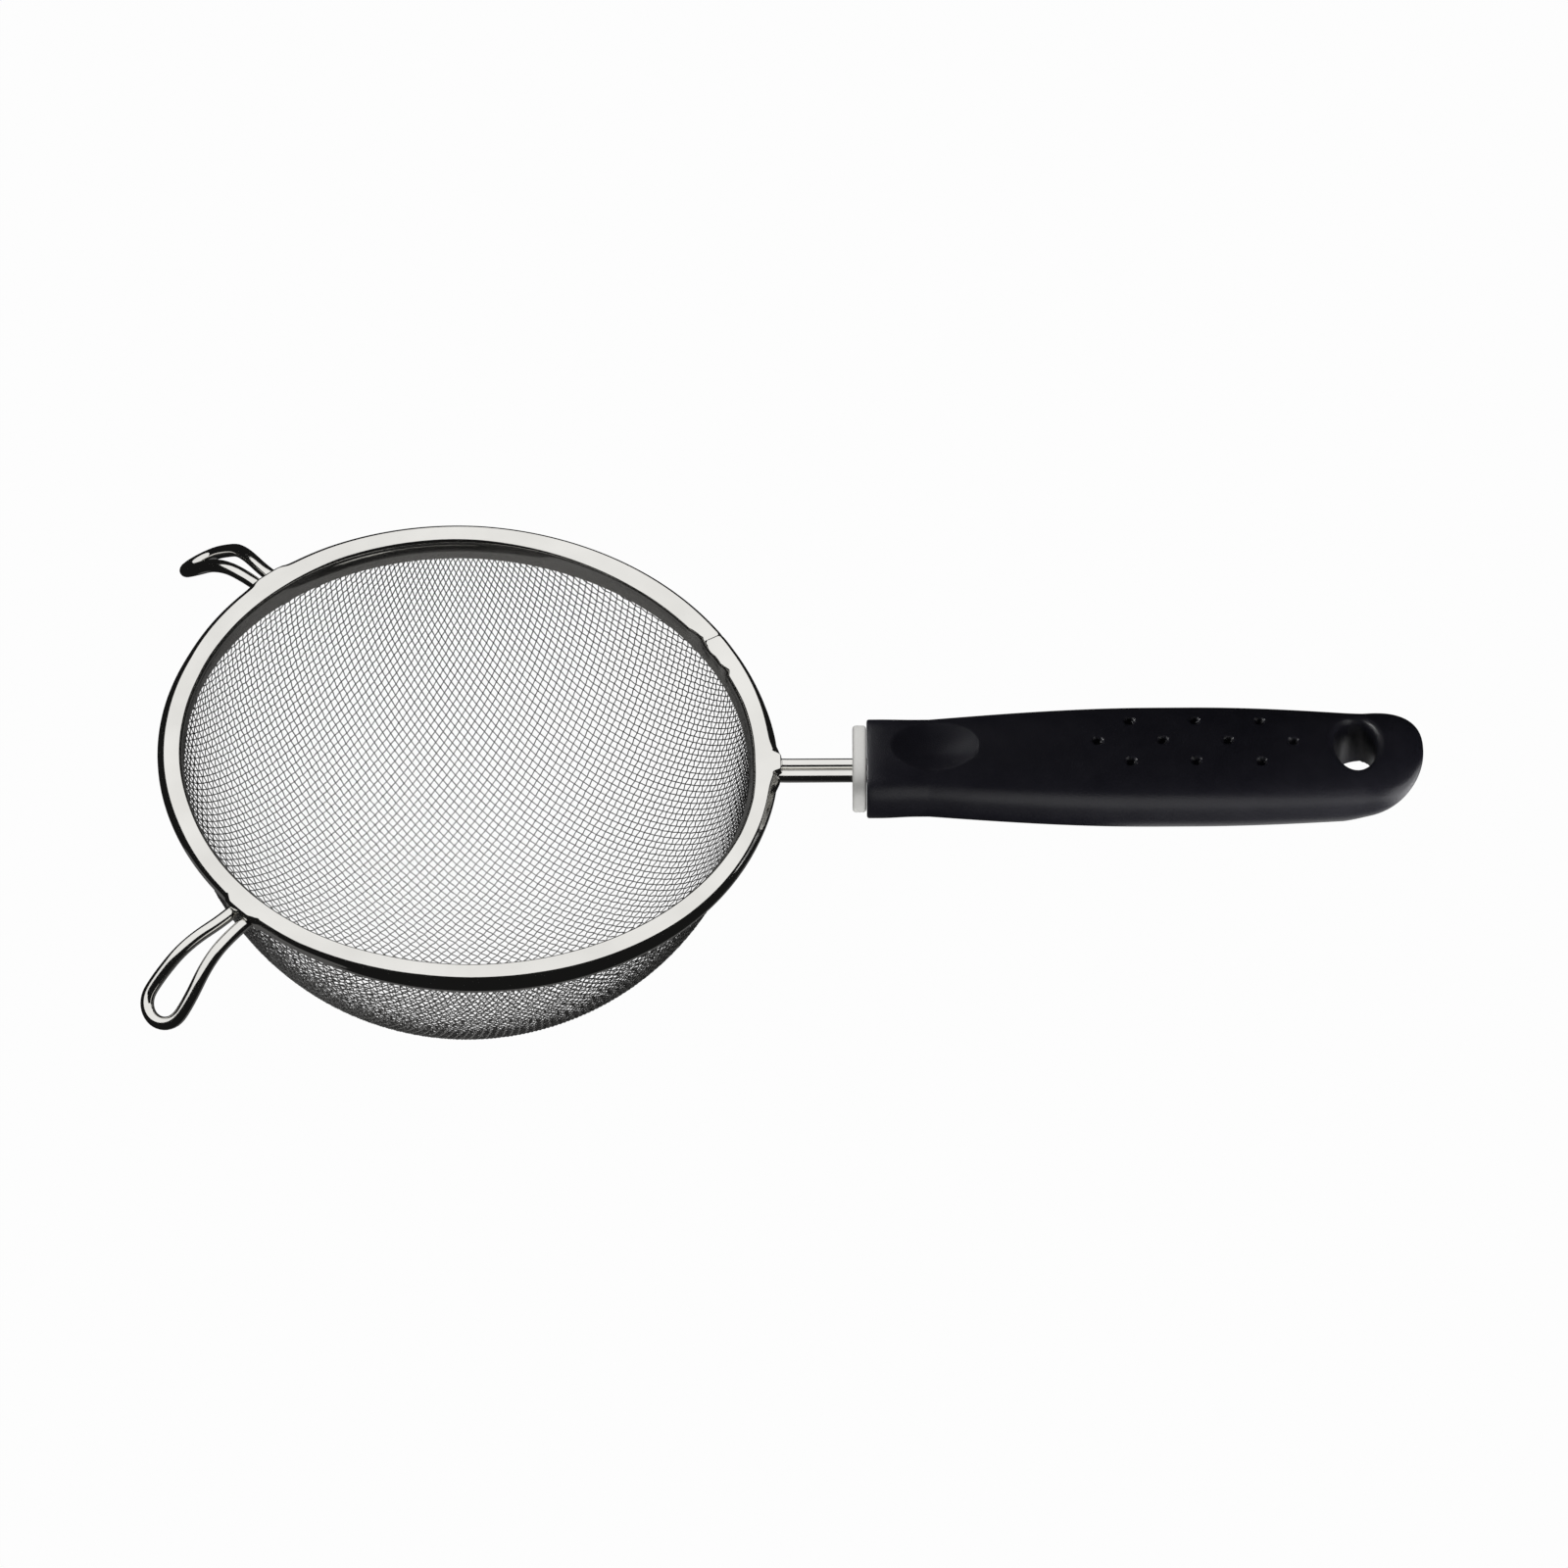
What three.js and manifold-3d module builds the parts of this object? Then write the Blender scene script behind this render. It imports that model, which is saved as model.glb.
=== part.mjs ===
// A hand strainer: a bowl of woven wire cloth in a rolled sheet rim, a frame bent from one wire that makes
// the hoop, the two resting ears and the stem, and a moulded handle behind a collar.
// Millimetres, +Z up. The origin is the middle of the bowl's base and the handle points along +X.
import * as THREE from 'three';
import { mergeVertices } from 'three/addons/utils/BufferGeometryUtils.js';
import Module from 'manifold-3d';

const wasm = await Module();
wasm.setup();

// Driving dimensions of the rim band and the bowl
const RIM_DIAMETER = 139;
const RIM_HEIGHT = 5.2;
const RIM_SHEET = 0.4;
const RIM_OUTER_ROUND = 1.2;
const RIM_INNER_ROUND = 1.5;
const RIM_LIP_ROUND = 1.3;
const BOWL_DEPTH = 67;
const BASE_FLAT_DIAMETER = 12;
const CLOTH_THICKNESS = 0.6;
const CLOTH_EDGE_DROP = 1.0;
const CLOTH_PLAY = 0.5;

// The cloth's openings, coarser than woven: rows from base to rim, and how much of each cell is open
const OPENING_ROWS = 6;
const OPENING_START_DEG = 7;
const OPENING_END_DEG = 84;
const OPENING_SHARE = 0.8;
const OPENING_TOOL_REACH = 0.1;

// Driving dimensions of the frame wire
const WIRE_DIAMETER = 3.0;
const WIRE_HEADROOM = 1.4;
const WIRE_OUTER_PLAY = 0.75;
const WIRE_TURN_RADIUS = 4.0;
const STEM_LENGTH = 17.3;
const STEM_PITCH_DEG = 4.5;
const TANG_LENGTH = 45;
const EAR_ANGLE_DEG = 46.7;
const EAR_ROOT_SPAN = 4.3;
const EAR_TIP_SPAN = 9.6;
const EAR_ARM = 6.9;
const EAR_ARM_SLOPE_DEG = 7.5;
const EAR_CURVE_RADIUS = 16;
const EAR_HOOK_SLOPE_DEG = 44.4;
const EAR_HOOK = 12.9;

// Driving dimensions of the collar and the handle
const COLLAR_THICKNESS = 2.9;
const COLLAR_STEP = 1.2;
const COLLAR_EDGE_ROUND = 0.7;
const GRIP_LENGTH = 125;
const GRIP_RISE = 0.6;
const GRIP_FRONT_WIDTH = 22.6;
const GRIP_FRONT_HEIGHT = 15.6;
const GRIP_FRONT_EDGE = 0.8;
const GRIP_WAIST = 14;
const GRIP_SWELL_WIDTH = 29.2;
const GRIP_SWELL_HEIGHT = 17;
const GRIP_SWELL_FROM_END = 52;
const GRIP_TAIL_WIDTH = 27;
const GRIP_TAIL_UP = 7;
const GRIP_TAIL_DOWN = 6;
const GRIP_TAIL_ROUND = 13;
const GRIP_TAIL_SWEEP = 30;
const GRIP_TIP_LIFT = 3.5;
const THUMB_LENGTH = 19.8;
const THUMB_WIDTH = 14.6;
const THUMB_DEPTH = 1.3;
const THUMB_FROM_FRONT = 15.4;
const DIMPLE_DIAMETER = 2.1;
const DIMPLE_DEPTH = 0.55;
const DIMPLE_PITCH = 14.6;
const DIMPLE_ROW_GAP = 6.1;
const DIMPLES_IN_MIDDLE_ROW = 4;
const HOLE_LENGTH = 9.8;
const HOLE_WIDTH = 14;
const HOLE_MOUTH_ROUND = 1.6;
const HOLE_FROM_END = 15.1;

// Fullness of the grip's curves: powers of the superellipses that its section and its tail follow
const SECTION_POWER = 3;
const TAIL_PLAN_POWER = 2.5;
const TAIL_TOP_POWER = 5;
const TAIL_UNDERSIDE_POWER = 1.8;

// Gap left between pieces that touch on the real object
const CLEARANCE = 0.3;

// Fineness of the facets
const RIM_FACETS = 72;
const BOWL_FACETS = 56;
const WIRE_SIDES = 8;
const GRIP_SIDES = 28;
const HOOP_STEP_DEG = 6;
const BOWL_STEPS = 12;
const TURN_STEPS = 5;
const EAR_LEG_STEPS = 10;
const EAR_TIP_STEPS = 7;
const GRIP_STEPS = 12;
const BALL_SIDES = 12;
const BALL_ROWS = 8;
const HOLE_FACETS = 24;

// Places that follow from the driving dimensions
const rimRadius = RIM_DIAMETER / 2;
const rimTop = BOWL_DEPTH;
const rimBottom = rimTop - RIM_HEIGHT;
const equator = rimTop - CLOTH_EDGE_DROP;
const wireRadius = WIRE_DIAMETER / 2;
const hoopRadius = rimRadius - RIM_SHEET - WIRE_OUTER_PLAY - wireRadius;
const hoopHeight = rimTop - RIM_SHEET - WIRE_HEADROOM - wireRadius;
const clothOuter = hoopRadius - wireRadius - CLEARANCE;
const clothInner = clothOuter - CLOTH_THICKNESS;
const rimInner = clothInner - CLOTH_PLAY - RIM_SHEET;
const stemSpan = WIRE_DIAMETER + CLEARANCE;
const stemPitch = THREE.MathUtils.degToRad(STEM_PITCH_DEG);
const earAzimuth = Math.PI - THREE.MathUtils.degToRad(EAR_ANGLE_DEG);
const collarFront = rimRadius + STEM_LENGTH;
const gripFront = collarFront + COLLAR_THICKNESS + CLEARANCE;

// Closed solids from three.js geometry, joined and cut
function solidOf(geometry) {
  const bare = geometry.clone();
  bare.deleteAttribute('normal');
  bare.deleteAttribute('uv');
  const merged = mergeVertices(bare, 1e-4);
  const vertProperties = new Float32Array(merged.attributes.position.array);
  const triVerts = new Uint32Array(merged.index.array);
  return new wasm.Manifold(new wasm.Mesh({ numProp: 3, vertProperties, triVerts }));
}

function geometryOf(solid) {
  const mesh = solid.getMesh();
  const geometry = new THREE.BufferGeometry();
  geometry.setAttribute('position', new THREE.BufferAttribute(mesh.vertProperties, 3));
  geometry.setIndex(new THREE.BufferAttribute(mesh.triVerts, 1));
  return geometry;
}

function cut(body, tools) {
  let solid = solidOf(body);
  for (const tool of tools) solid = solid.subtract(solidOf(tool));
  return geometryOf(solid);
}

// Solid of revolution about +Z from points whose x is the radius and y the height
function turned(profile, facets) {
  return new THREE.LatheGeometry(profile, facets).rotateX(Math.PI / 2);
}

function quarterArc(x, y, radius, from, to, steps) {
  const degrees = THREE.MathUtils.degToRad;
  return new THREE.EllipseCurve(x, y, radius, radius, degrees(from), degrees(to), to < from).getPoints(steps);
}

// A path that is stepped from one of its points to the next, so bends get more steps than straights
class SteppedPath extends THREE.CatmullRomCurve3 {
  getUtoTmapping(u) {
    return u;
  }
}

function polygon(radius, sides) {
  const points = [];
  for (let i = 0; i < sides; i += 1) {
    const angle = (2 * Math.PI * i) / sides;
    points.push(new THREE.Vector2(radius * Math.cos(angle), radius * Math.sin(angle)));
  }
  return new THREE.Shape(points);
}

function wireAlong(points, radius) {
  const extrudePath = new SteppedPath(points);
  const options = { steps: points.length - 1, extrudePath };
  return new THREE.ExtrudeGeometry(polygon(radius, WIRE_SIDES), options);
}

// Where the hoop turns outward to run along +X at a given distance from the X axis
function turnOut(offset) {
  const centreRadius = hoopRadius + WIRE_TURN_RADIUS;
  const side = offset + WIRE_TURN_RADIUS;
  const x = Math.sqrt(centreRadius ** 2 - side ** 2);
  const hoopAngle = Math.atan2(side, x);
  const arc = new THREE.EllipseCurve(x, side, WIRE_TURN_RADIUS, WIRE_TURN_RADIUS,
    Math.PI + hoopAngle, 1.5 * Math.PI, false);
  const points = arc.getPoints(TURN_STEPS).map((p) => new THREE.Vector3(p.x, p.y, hoopHeight));
  return { x, hoopAngle, points };
}

function hoopArc(from, to) {
  const steps = Math.ceil(Math.abs(to - from) / THREE.MathUtils.degToRad(HOOP_STEP_DEG));
  const points = [];
  for (let i = 0; i <= steps; i += 1) {
    const angle = from + ((to - from) * i) / steps;
    points.push(new THREE.Vector3(hoopRadius * Math.cos(angle), hoopRadius * Math.sin(angle), hoopHeight));
  }
  return points;
}

const stemTurn = turnOut(stemSpan / 2);
const earTurn = turnOut(EAR_ROOT_SPAN / 2);
const splitAngle = CLEARANCE / hoopRadius;

// One stem of the frame: the hoop from the ear round to the handle, the turn and the straight tang
function stemPoints() {
  const hoop = hoopArc(earAzimuth - earTurn.hoopAngle - splitAngle, stemTurn.hoopAngle);
  const turnEnd = stemTurn.points.at(-1);
  const tangEnd = gripFront + TANG_LENGTH - turnEnd.x;
  const straight = [];
  for (const share of [0.08, 0.3, 0.65, 1]) {
    const along = tangEnd * share;
    straight.push(new THREE.Vector3(turnEnd.x + along, turnEnd.y, hoopHeight + along * Math.tan(stemPitch)));
  }
  return [...hoop, ...stemTurn.points.slice(1), ...straight];
}

// The ear's side view: a sloping arm, a curve and a straight hook, by length along the wire
function earPlace(length) {
  const armSlope = THREE.MathUtils.degToRad(EAR_ARM_SLOPE_DEG);
  const hookSlope = THREE.MathUtils.degToRad(EAR_HOOK_SLOPE_DEG);
  const curveLength = EAR_CURVE_RADIUS * (hookSlope - armSlope);
  const onArm = Math.min(length, EAR_ARM);
  const onCurve = THREE.MathUtils.clamp(length - EAR_ARM, 0, curveLength);
  const onHook = Math.max(length - EAR_ARM - curveLength, 0);
  const slope = armSlope + onCurve / EAR_CURVE_RADIUS;
  const out = onArm * Math.cos(armSlope) + onHook * Math.cos(hookSlope)
    + EAR_CURVE_RADIUS * (Math.sin(slope) - Math.sin(armSlope));
  const down = onArm * Math.sin(armSlope) + onHook * Math.sin(hookSlope)
    + EAR_CURVE_RADIUS * (Math.cos(armSlope) - Math.cos(slope));
  return { out, down, total: EAR_ARM + curveLength + EAR_HOOK };
}

// One ear with its arms along +X: out along one leg, round the tip and back along the other
function earPoints() {
  const tipRadius = EAR_TIP_SPAN / 2;
  const legLength = earPlace(0).total - tipRadius;
  const onEar = (length, side) => {
    const { out, down } = earPlace(length);
    return new THREE.Vector3(earTurn.x + out, side, hoopHeight - down);
  };
  const leg = [];
  for (let i = 1; i <= EAR_LEG_STEPS; i += 1) {
    const share = i / EAR_LEG_STEPS;
    leg.push(onEar(legLength * share, THREE.MathUtils.lerp(EAR_ROOT_SPAN / 2, tipRadius, share)));
  }
  const tip = quarterArc(legLength, 0, tipRadius, 70, -70, EAR_TIP_STEPS).map((p) => onEar(p.x, p.y));
  const half = [...earTurn.points, ...leg];
  const mirrored = half.map((p) => new THREE.Vector3(p.x, -p.y, p.z)).reverse();
  return [...half, ...tip, ...mirrored];
}

// The rim's folded sheet: inner wall, flat top, outer wall and a lip turned under
function rimSkin(inset) {
  const inner = rimInner + inset;
  const outer = rimRadius - inset;
  const top = rimTop - inset;
  const bottom = rimBottom + inset;
  const innerRound = RIM_INNER_ROUND - inset;
  const outerRound = RIM_OUTER_ROUND - inset;
  const lipRound = RIM_LIP_ROUND - inset;
  return [
    new THREE.Vector2(inner, rimBottom),
    ...quarterArc(inner + innerRound, top - innerRound, innerRound, 180, 90, 2),
    ...quarterArc(outer - outerRound, top - outerRound, outerRound, 90, 0, 3),
    ...quarterArc(outer - lipRound, bottom + lipRound, lipRound, 0, -90, 3),
  ];
}

function rimBand() {
  const outside = rimSkin(0);
  const inside = rimSkin(RIM_SHEET).reverse();
  const section = [...outside, ...inside, outside[0]].reverse();
  const notch = wireRadius + CLEARANCE;
  const tools = [1, -1].map((side) => wireAlong(mirrorY(stemPoints(), side), notch));
  const gap = new THREE.BoxGeometry(2 * WIRE_TURN_RADIUS, EAR_ROOT_SPAN, RIM_HEIGHT);
  gap.translate(rimRadius, 0, hoopHeight - RIM_HEIGHT / 2);
  for (const side of [1, -1]) {
    tools.push(wireAlong(earPoints(), notch).rotateZ(side * earAzimuth));
    tools.push(gap.clone().rotateZ(side * earAzimuth));
  }
  return cut(turned(section, RIM_FACETS), tools);
}

// One opening of the cloth: a wedge through the skin, about a polar angle from the base and an azimuth
function clothOpening(polar, azimuth, halfPolar, halfAzimuth) {
  const wedge = new THREE.BoxGeometry(2, 2, 2);
  const places = wedge.attributes.position;
  for (let i = 0; i < places.count; i += 1) {
    const angle = polar + places.getX(i) * halfPolar;
    const turn = azimuth - places.getY(i) * halfAzimuth;
    const reach = 1 + places.getZ(i) * OPENING_TOOL_REACH;
    const radius = clothOuter * Math.sin(angle) * reach;
    const height = equator * (1 - Math.cos(angle) * reach);
    places.setXYZ(i, radius * Math.cos(turn), radius * Math.sin(turn), height);
  }
  return wedge;
}

// Rows of openings, each with as many as keep its cells about square
function clothOpenings() {
  const start = THREE.MathUtils.degToRad(OPENING_START_DEG);
  const cell = (THREE.MathUtils.degToRad(OPENING_END_DEG) - start) / OPENING_ROWS;
  const tools = [];
  for (let row = 0; row < OPENING_ROWS; row += 1) {
    const polar = start + cell * (row + 0.5);
    const count = Math.round((2 * Math.PI * Math.sin(polar)) / cell);
    const step = (2 * Math.PI) / count;
    const [halfPolar, halfAzimuth] = [cell, step].map((size) => (size * OPENING_SHARE) / 2);
    for (let i = 0; i < count; i += 1) {
      tools.push(clothOpening(polar, step * (i + 0.5), halfPolar, halfAzimuth));
    }
  }
  return tools;
}

// The bowl's cloth as one skin with a small flat base
function meshBowl() {
  const flat = BASE_FLAT_DIAMETER / 2;
  const skin = (radius, base) => {
    const start = -Math.acos(flat / radius);
    const depth = (equator - base) / -Math.sin(start);
    return new THREE.EllipseCurve(0, equator, radius, depth, start, 0, false).getPoints(BOWL_STEPS);
  };
  const outside = [new THREE.Vector2(0, 0), ...skin(clothOuter, 0)];
  const inside = [new THREE.Vector2(0, CLOTH_THICKNESS), ...skin(clothInner, CLOTH_THICKNESS)];
  return cut(turned([...outside, ...inside.reverse()], BOWL_FACETS), clothOpenings());
}

function mirrorY(points, side) {
  return points.map((p) => new THREE.Vector3(p.x, p.y * side, p.z));
}

// Half width and half heights of the grip at a distance along it, before its ends are rounded
function gripSection(along) {
  const swellAt = GRIP_LENGTH - GRIP_SWELL_FROM_END;
  const tailAt = GRIP_LENGTH - GRIP_TAIL_ROUND;
  const rising = THREE.MathUtils.clamp((along - GRIP_WAIST) / (swellAt - GRIP_WAIST), 0, 1);
  const falling = THREE.MathUtils.clamp((along - swellAt) / (tailAt - swellAt), 0, 1);
  const rise = Math.sin((rising * Math.PI) / 2);
  const fall = 1 - Math.cos((falling * Math.PI) / 2);
  const blend = (front, swell, tail) => front + (swell - front) * rise + (tail - swell) * fall;
  return {
    side: blend(GRIP_FRONT_WIDTH / 2, GRIP_SWELL_WIDTH / 2, GRIP_TAIL_WIDTH / 2),
    up: blend(GRIP_FRONT_HEIGHT / 2, GRIP_SWELL_HEIGHT / 2, GRIP_TAIL_UP),
    down: blend(GRIP_FRONT_HEIGHT / 2, GRIP_SWELL_HEIGHT / 2, GRIP_TAIL_DOWN),
  };
}

// How far into a run that ends at the tail's tip a place lies, from 0 to 1
function intoTail(along, run) {
  return THREE.MathUtils.clamp(1 - (GRIP_LENGTH - along) / run, 0, 1);
}

// Share of a section that is left near the tail, where a higher power keeps it full for longer
function tailShare(along, run, power) {
  return (1 - intoTail(along, run) ** power) ** (1 / power);
}

// The section's height of middle, half width and half heights, with the tail's sides and underside drawn in
function gripHalves(along) {
  const full = gripSection(along);
  const lift = GRIP_TIP_LIFT * intoTail(along, GRIP_TAIL_SWEEP) ** 2;
  return {
    middle: GRIP_RISE + lift,
    side: full.side * tailShare(along, GRIP_TAIL_ROUND, TAIL_PLAN_POWER),
    up: (full.up - lift) * tailShare(along, GRIP_TAIL_ROUND, TAIL_TOP_POWER),
    down: (full.down + lift) * tailShare(along, GRIP_TAIL_SWEEP, TAIL_UNDERSIDE_POWER),
  };
}

// A point of the boxy oval section
function ovalPoint({ side, up, down }, angle) {
  const bend = (value) => Math.sign(value) * Math.abs(value) ** (2 / SECTION_POWER);
  const z = bend(Math.sin(angle));
  return new THREE.Vector2(side * bend(Math.cos(angle)), z * (z > 0 ? up : down));
}

function topOfGrip(along, y) {
  const { middle, side, up } = gripHalves(along);
  return middle + up * (1 - Math.abs(y / side) ** SECTION_POWER) ** (1 / SECTION_POWER);
}

// Rings of the grip from its front face to its tail, each with the halves of its section
function gripRings() {
  const inset = 1 - (2 * GRIP_FRONT_EDGE) / GRIP_FRONT_HEIGHT;
  const { middle, side, up, down } = gripHalves(0);
  const shrunk = (share) => ({ middle, side: side * share, up: up * share, down: down * share });
  const rings = [[0, shrunk(0)], [0, shrunk(inset)]];
  const straight = GRIP_LENGTH - GRIP_TAIL_ROUND - GRIP_FRONT_EDGE;
  for (let i = 0; i < GRIP_STEPS; i += 1) {
    const along = GRIP_FRONT_EDGE + (straight * i) / GRIP_STEPS;
    rings.push([along, gripHalves(along)]);
  }
  for (const degrees of [0, 20, 38, 54, 67, 77, 85, 90]) {
    const along = GRIP_LENGTH - GRIP_TAIL_ROUND * (1 - Math.sin(THREE.MathUtils.degToRad(degrees)));
    rings.push([along, gripHalves(along)]);
  }
  return rings;
}

function gripBody() {
  const rings = gripRings();
  const body = new THREE.SphereGeometry(1, GRIP_SIDES, rings.length - 1);
  const places = body.attributes.position;
  rings.forEach(([along, halves], row) => {
    for (let i = 0; i <= GRIP_SIDES; i += 1) {
      const { x, y } = ovalPoint(halves, (-2 * Math.PI * (i % GRIP_SIDES)) / GRIP_SIDES);
      places.setXYZ(row * (GRIP_SIDES + 1) + i, along, x, halves.middle + y);
    }
  });
  return body;
}

// A ball that, sunk to a depth in a flat face, leaves a round hollow of a given width
function hollowBall(width, depth) {
  const radius = ((width / 2) ** 2 + depth ** 2) / (2 * depth);
  return { ball: new THREE.SphereGeometry(radius, BALL_SIDES, BALL_ROWS), lift: radius - depth };
}

function thumbRecess() {
  const { ball, lift } = hollowBall(THUMB_WIDTH, THUMB_DEPTH);
  ball.scale(THUMB_LENGTH / THUMB_WIDTH, 1, 1);
  return ball.translate(THUMB_FROM_FRONT, 0, topOfGrip(THUMB_FROM_FRONT, 0) + lift);
}

// Three staggered rows of dimples over the grip's swell
function dimples() {
  const { ball, lift } = hollowBall(DIMPLE_DIAMETER, DIMPLE_DEPTH);
  const middle = GRIP_LENGTH - GRIP_SWELL_FROM_END;
  const tools = [];
  for (const row of [-1, 0, 1]) {
    const count = DIMPLES_IN_MIDDLE_ROW - Math.abs(row);
    for (let i = 0; i < count; i += 1) {
      const along = middle + (i - (count - 1) / 2) * DIMPLE_PITCH;
      const y = row * DIMPLE_ROW_GAP;
      tools.push(ball.clone().translate(along, y, topOfGrip(along, y) + lift));
    }
  }
  return tools;
}

// An oval bore through the tail with rounded mouths
function hangingHole() {
  const along = GRIP_LENGTH - HOLE_FROM_END;
  const { middle, up, down } = gripHalves(along);
  const bore = HOLE_LENGTH / 2;
  const mouth = bore + HOLE_MOUTH_ROUND;
  const [top, bottom] = [middle + up, middle - down];
  const profile = [
    new THREE.Vector2(0, bottom - GRIP_TAIL_DOWN),
    new THREE.Vector2(mouth, bottom - GRIP_TAIL_DOWN),
    ...quarterArc(mouth, bottom + HOLE_MOUTH_ROUND, HOLE_MOUTH_ROUND, 270, 180, 3),
    ...quarterArc(mouth, top - HOLE_MOUTH_ROUND, HOLE_MOUTH_ROUND, 180, 90, 3),
    new THREE.Vector2(mouth, top + GRIP_TAIL_UP),
    new THREE.Vector2(0, top + GRIP_TAIL_UP),
  ];
  return turned(profile, HOLE_FACETS).scale(1, HOLE_WIDTH / HOLE_LENGTH, 1).translate(along, 0, 0);
}

// The slot that both stem wires pass through, from a start to an end along the handle
function tangSlot(from, to) {
  const radius = wireRadius + CLEARANCE;
  const slot = new THREE.Shape();
  slot.absarc(stemSpan / 2, 0, radius, -Math.PI / 2, Math.PI / 2, false);
  slot.absarc(-stemSpan / 2, 0, radius, Math.PI / 2, 1.5 * Math.PI, false);
  const options = { depth: to - from, bevelEnabled: false, curveSegments: 8 };
  return alongHandle(new THREE.ExtrudeGeometry(slot, options)).translate(from, 0, 0);
}

// Turns a shape drawn across and up, and extruded away, to lie across the handle
function alongHandle(geometry) {
  return geometry.rotateZ(Math.PI / 2).rotateY(Math.PI / 2);
}

function handleGrip() {
  const slot = tangSlot(-GRIP_FRONT_EDGE, TANG_LENGTH + CLEARANCE);
  return cut(gripBody(), [slot, thumbRecess(), hangingHole(), ...dimples()]);
}

function collarRing() {
  const step = COLLAR_STEP + COLLAR_EDGE_ROUND;
  const halfHeight = GRIP_FRONT_HEIGHT / 2 - step;
  const halves = { side: GRIP_FRONT_WIDTH / 2 - step, up: halfHeight, down: halfHeight };
  const outline = [];
  for (let i = 0; i < GRIP_SIDES; i += 1) outline.push(ovalPoint(halves, (2 * Math.PI * i) / GRIP_SIDES));
  const ring = new THREE.ExtrudeGeometry(new THREE.Shape(outline), {
    depth: COLLAR_THICKNESS - 2 * COLLAR_EDGE_ROUND,
    bevelThickness: COLLAR_EDGE_ROUND,
    bevelSize: COLLAR_EDGE_ROUND,
    bevelSegments: 2,
  });
  alongHandle(ring).translate(COLLAR_EDGE_ROUND - COLLAR_THICKNESS - CLEARANCE, 0, GRIP_RISE);
  return cut(ring, [tangSlot(-2 * COLLAR_THICKNESS, COLLAR_THICKNESS)]);
}

// Materials
const steel = { color: 0xd8d7d0, metalness: 1, roughness: 0.18 };
const cloth = { color: 0xb9b9b4, metalness: 1, roughness: 0.3 };
const satin = { color: 0xc9c8c2, metalness: 0.6, roughness: 0.45 };
const plastic = { color: 0x17171a, metalness: 0, roughness: 0.5 };

function named(name, geometry, look) {
  const mesh = new THREE.Mesh(geometry, new THREE.MeshStandardMaterial(look));
  mesh.name = name;
  return mesh;
}

// The assembly
const strainer = new THREE.Group();
strainer.add(named('mesh_bowl', meshBowl(), cloth));
strainer.add(named('rim_band', rimBand(), steel));

const frontEnd = earAzimuth + earTurn.hoopAngle + splitAngle;
const frontWire = wireAlong(hoopArc(frontEnd, 2 * Math.PI - frontEnd), wireRadius);
strainer.add(named('frame_wire_front', frontWire, steel));

for (const [side, word] of [[-1, 'near'], [1, 'far']]) {
  const stem = wireAlong(mirrorY(stemPoints(), side), wireRadius);
  strainer.add(named(`frame_wire_${word}`, stem, steel));
  const ear = named(`ear_${word}`, wireAlong(earPoints(), wireRadius), steel);
  ear.rotation.z = side * earAzimuth;
  strainer.add(ear);
}

const handle = new THREE.Group();
handle.position.set(gripFront, 0, hoopHeight + (gripFront - stemTurn.x) * Math.tan(stemPitch));
handle.rotation.y = -stemPitch;
handle.add(named('collar', collarRing(), satin));
handle.add(named('handle_grip', handleGrip(), plastic));
strainer.add(handle);

export default strainer;
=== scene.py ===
import math
from collections import namedtuple

import bmesh
import bpy
import numpy as np
from mathutils import Matrix, Vector

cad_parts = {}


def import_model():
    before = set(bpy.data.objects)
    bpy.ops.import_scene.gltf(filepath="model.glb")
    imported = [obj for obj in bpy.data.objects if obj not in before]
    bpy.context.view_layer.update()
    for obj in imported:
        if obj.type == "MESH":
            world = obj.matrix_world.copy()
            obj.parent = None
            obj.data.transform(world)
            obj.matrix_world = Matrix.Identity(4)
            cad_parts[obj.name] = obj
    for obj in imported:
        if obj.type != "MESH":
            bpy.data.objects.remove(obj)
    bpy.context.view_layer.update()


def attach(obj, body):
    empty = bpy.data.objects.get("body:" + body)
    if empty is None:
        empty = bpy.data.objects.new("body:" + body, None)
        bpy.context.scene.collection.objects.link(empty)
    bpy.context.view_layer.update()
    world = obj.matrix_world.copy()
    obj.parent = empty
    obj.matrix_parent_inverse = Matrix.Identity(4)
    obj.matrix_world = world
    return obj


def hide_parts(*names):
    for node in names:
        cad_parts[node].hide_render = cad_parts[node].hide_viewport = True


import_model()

# The object is worked out in millimetres, in the frame of the solids, and made in metres.
# The stage, its lamps and its cards are in metres.
MM = 0.001

# Rim band: a sheet folded down over the wire. Its leans and the break between two rounds are in degrees.
RIM_RADIUS = 69.5
RIM_INNER = 63.55
RIM_TOP = 67.0
RIM_HEIGHT = 5.2
RIM_SHEET = 0.4
RIM_OUTER_ROUNDS = (1.2, 3.6)
RIM_OUTER_LEAN = 15.0
RIM_INNER_ROUNDS = (0.8, 2.2)
RIM_INNER_LEAN = 6.0
RIM_BREAK = 45.0
RIM_LIP_ROUND = 2.2
RIM_SHARP = 50

# Steps in each stretch of the rim's section
WALL_STEPS = 4
WIDE_STEPS = 8
TIGHT_STEPS = 5
CROWN_STEPS = 7
LIP_STEPS = 9

# Woven cloth: a round bowl, half of an ellipsoid about its equator, cut off inside the rim
CLOTH_RADIUS = 64.75
CLOTH_DEPTH = 65.6
CLOTH_EQUATOR = 66.0
CLOTH_TOP = 64.2
CLOTH_PITCHES = (1.53, 1.70)
CLOTH_TURN = math.radians(52)
CLOTH_WIRE = 0.26
CLOTH_CRIMP = 0.6
CLOTH_UNEVEN = 0.015
CLOTH_SIDES = 5
CLOTH_STEPS = 3

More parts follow.
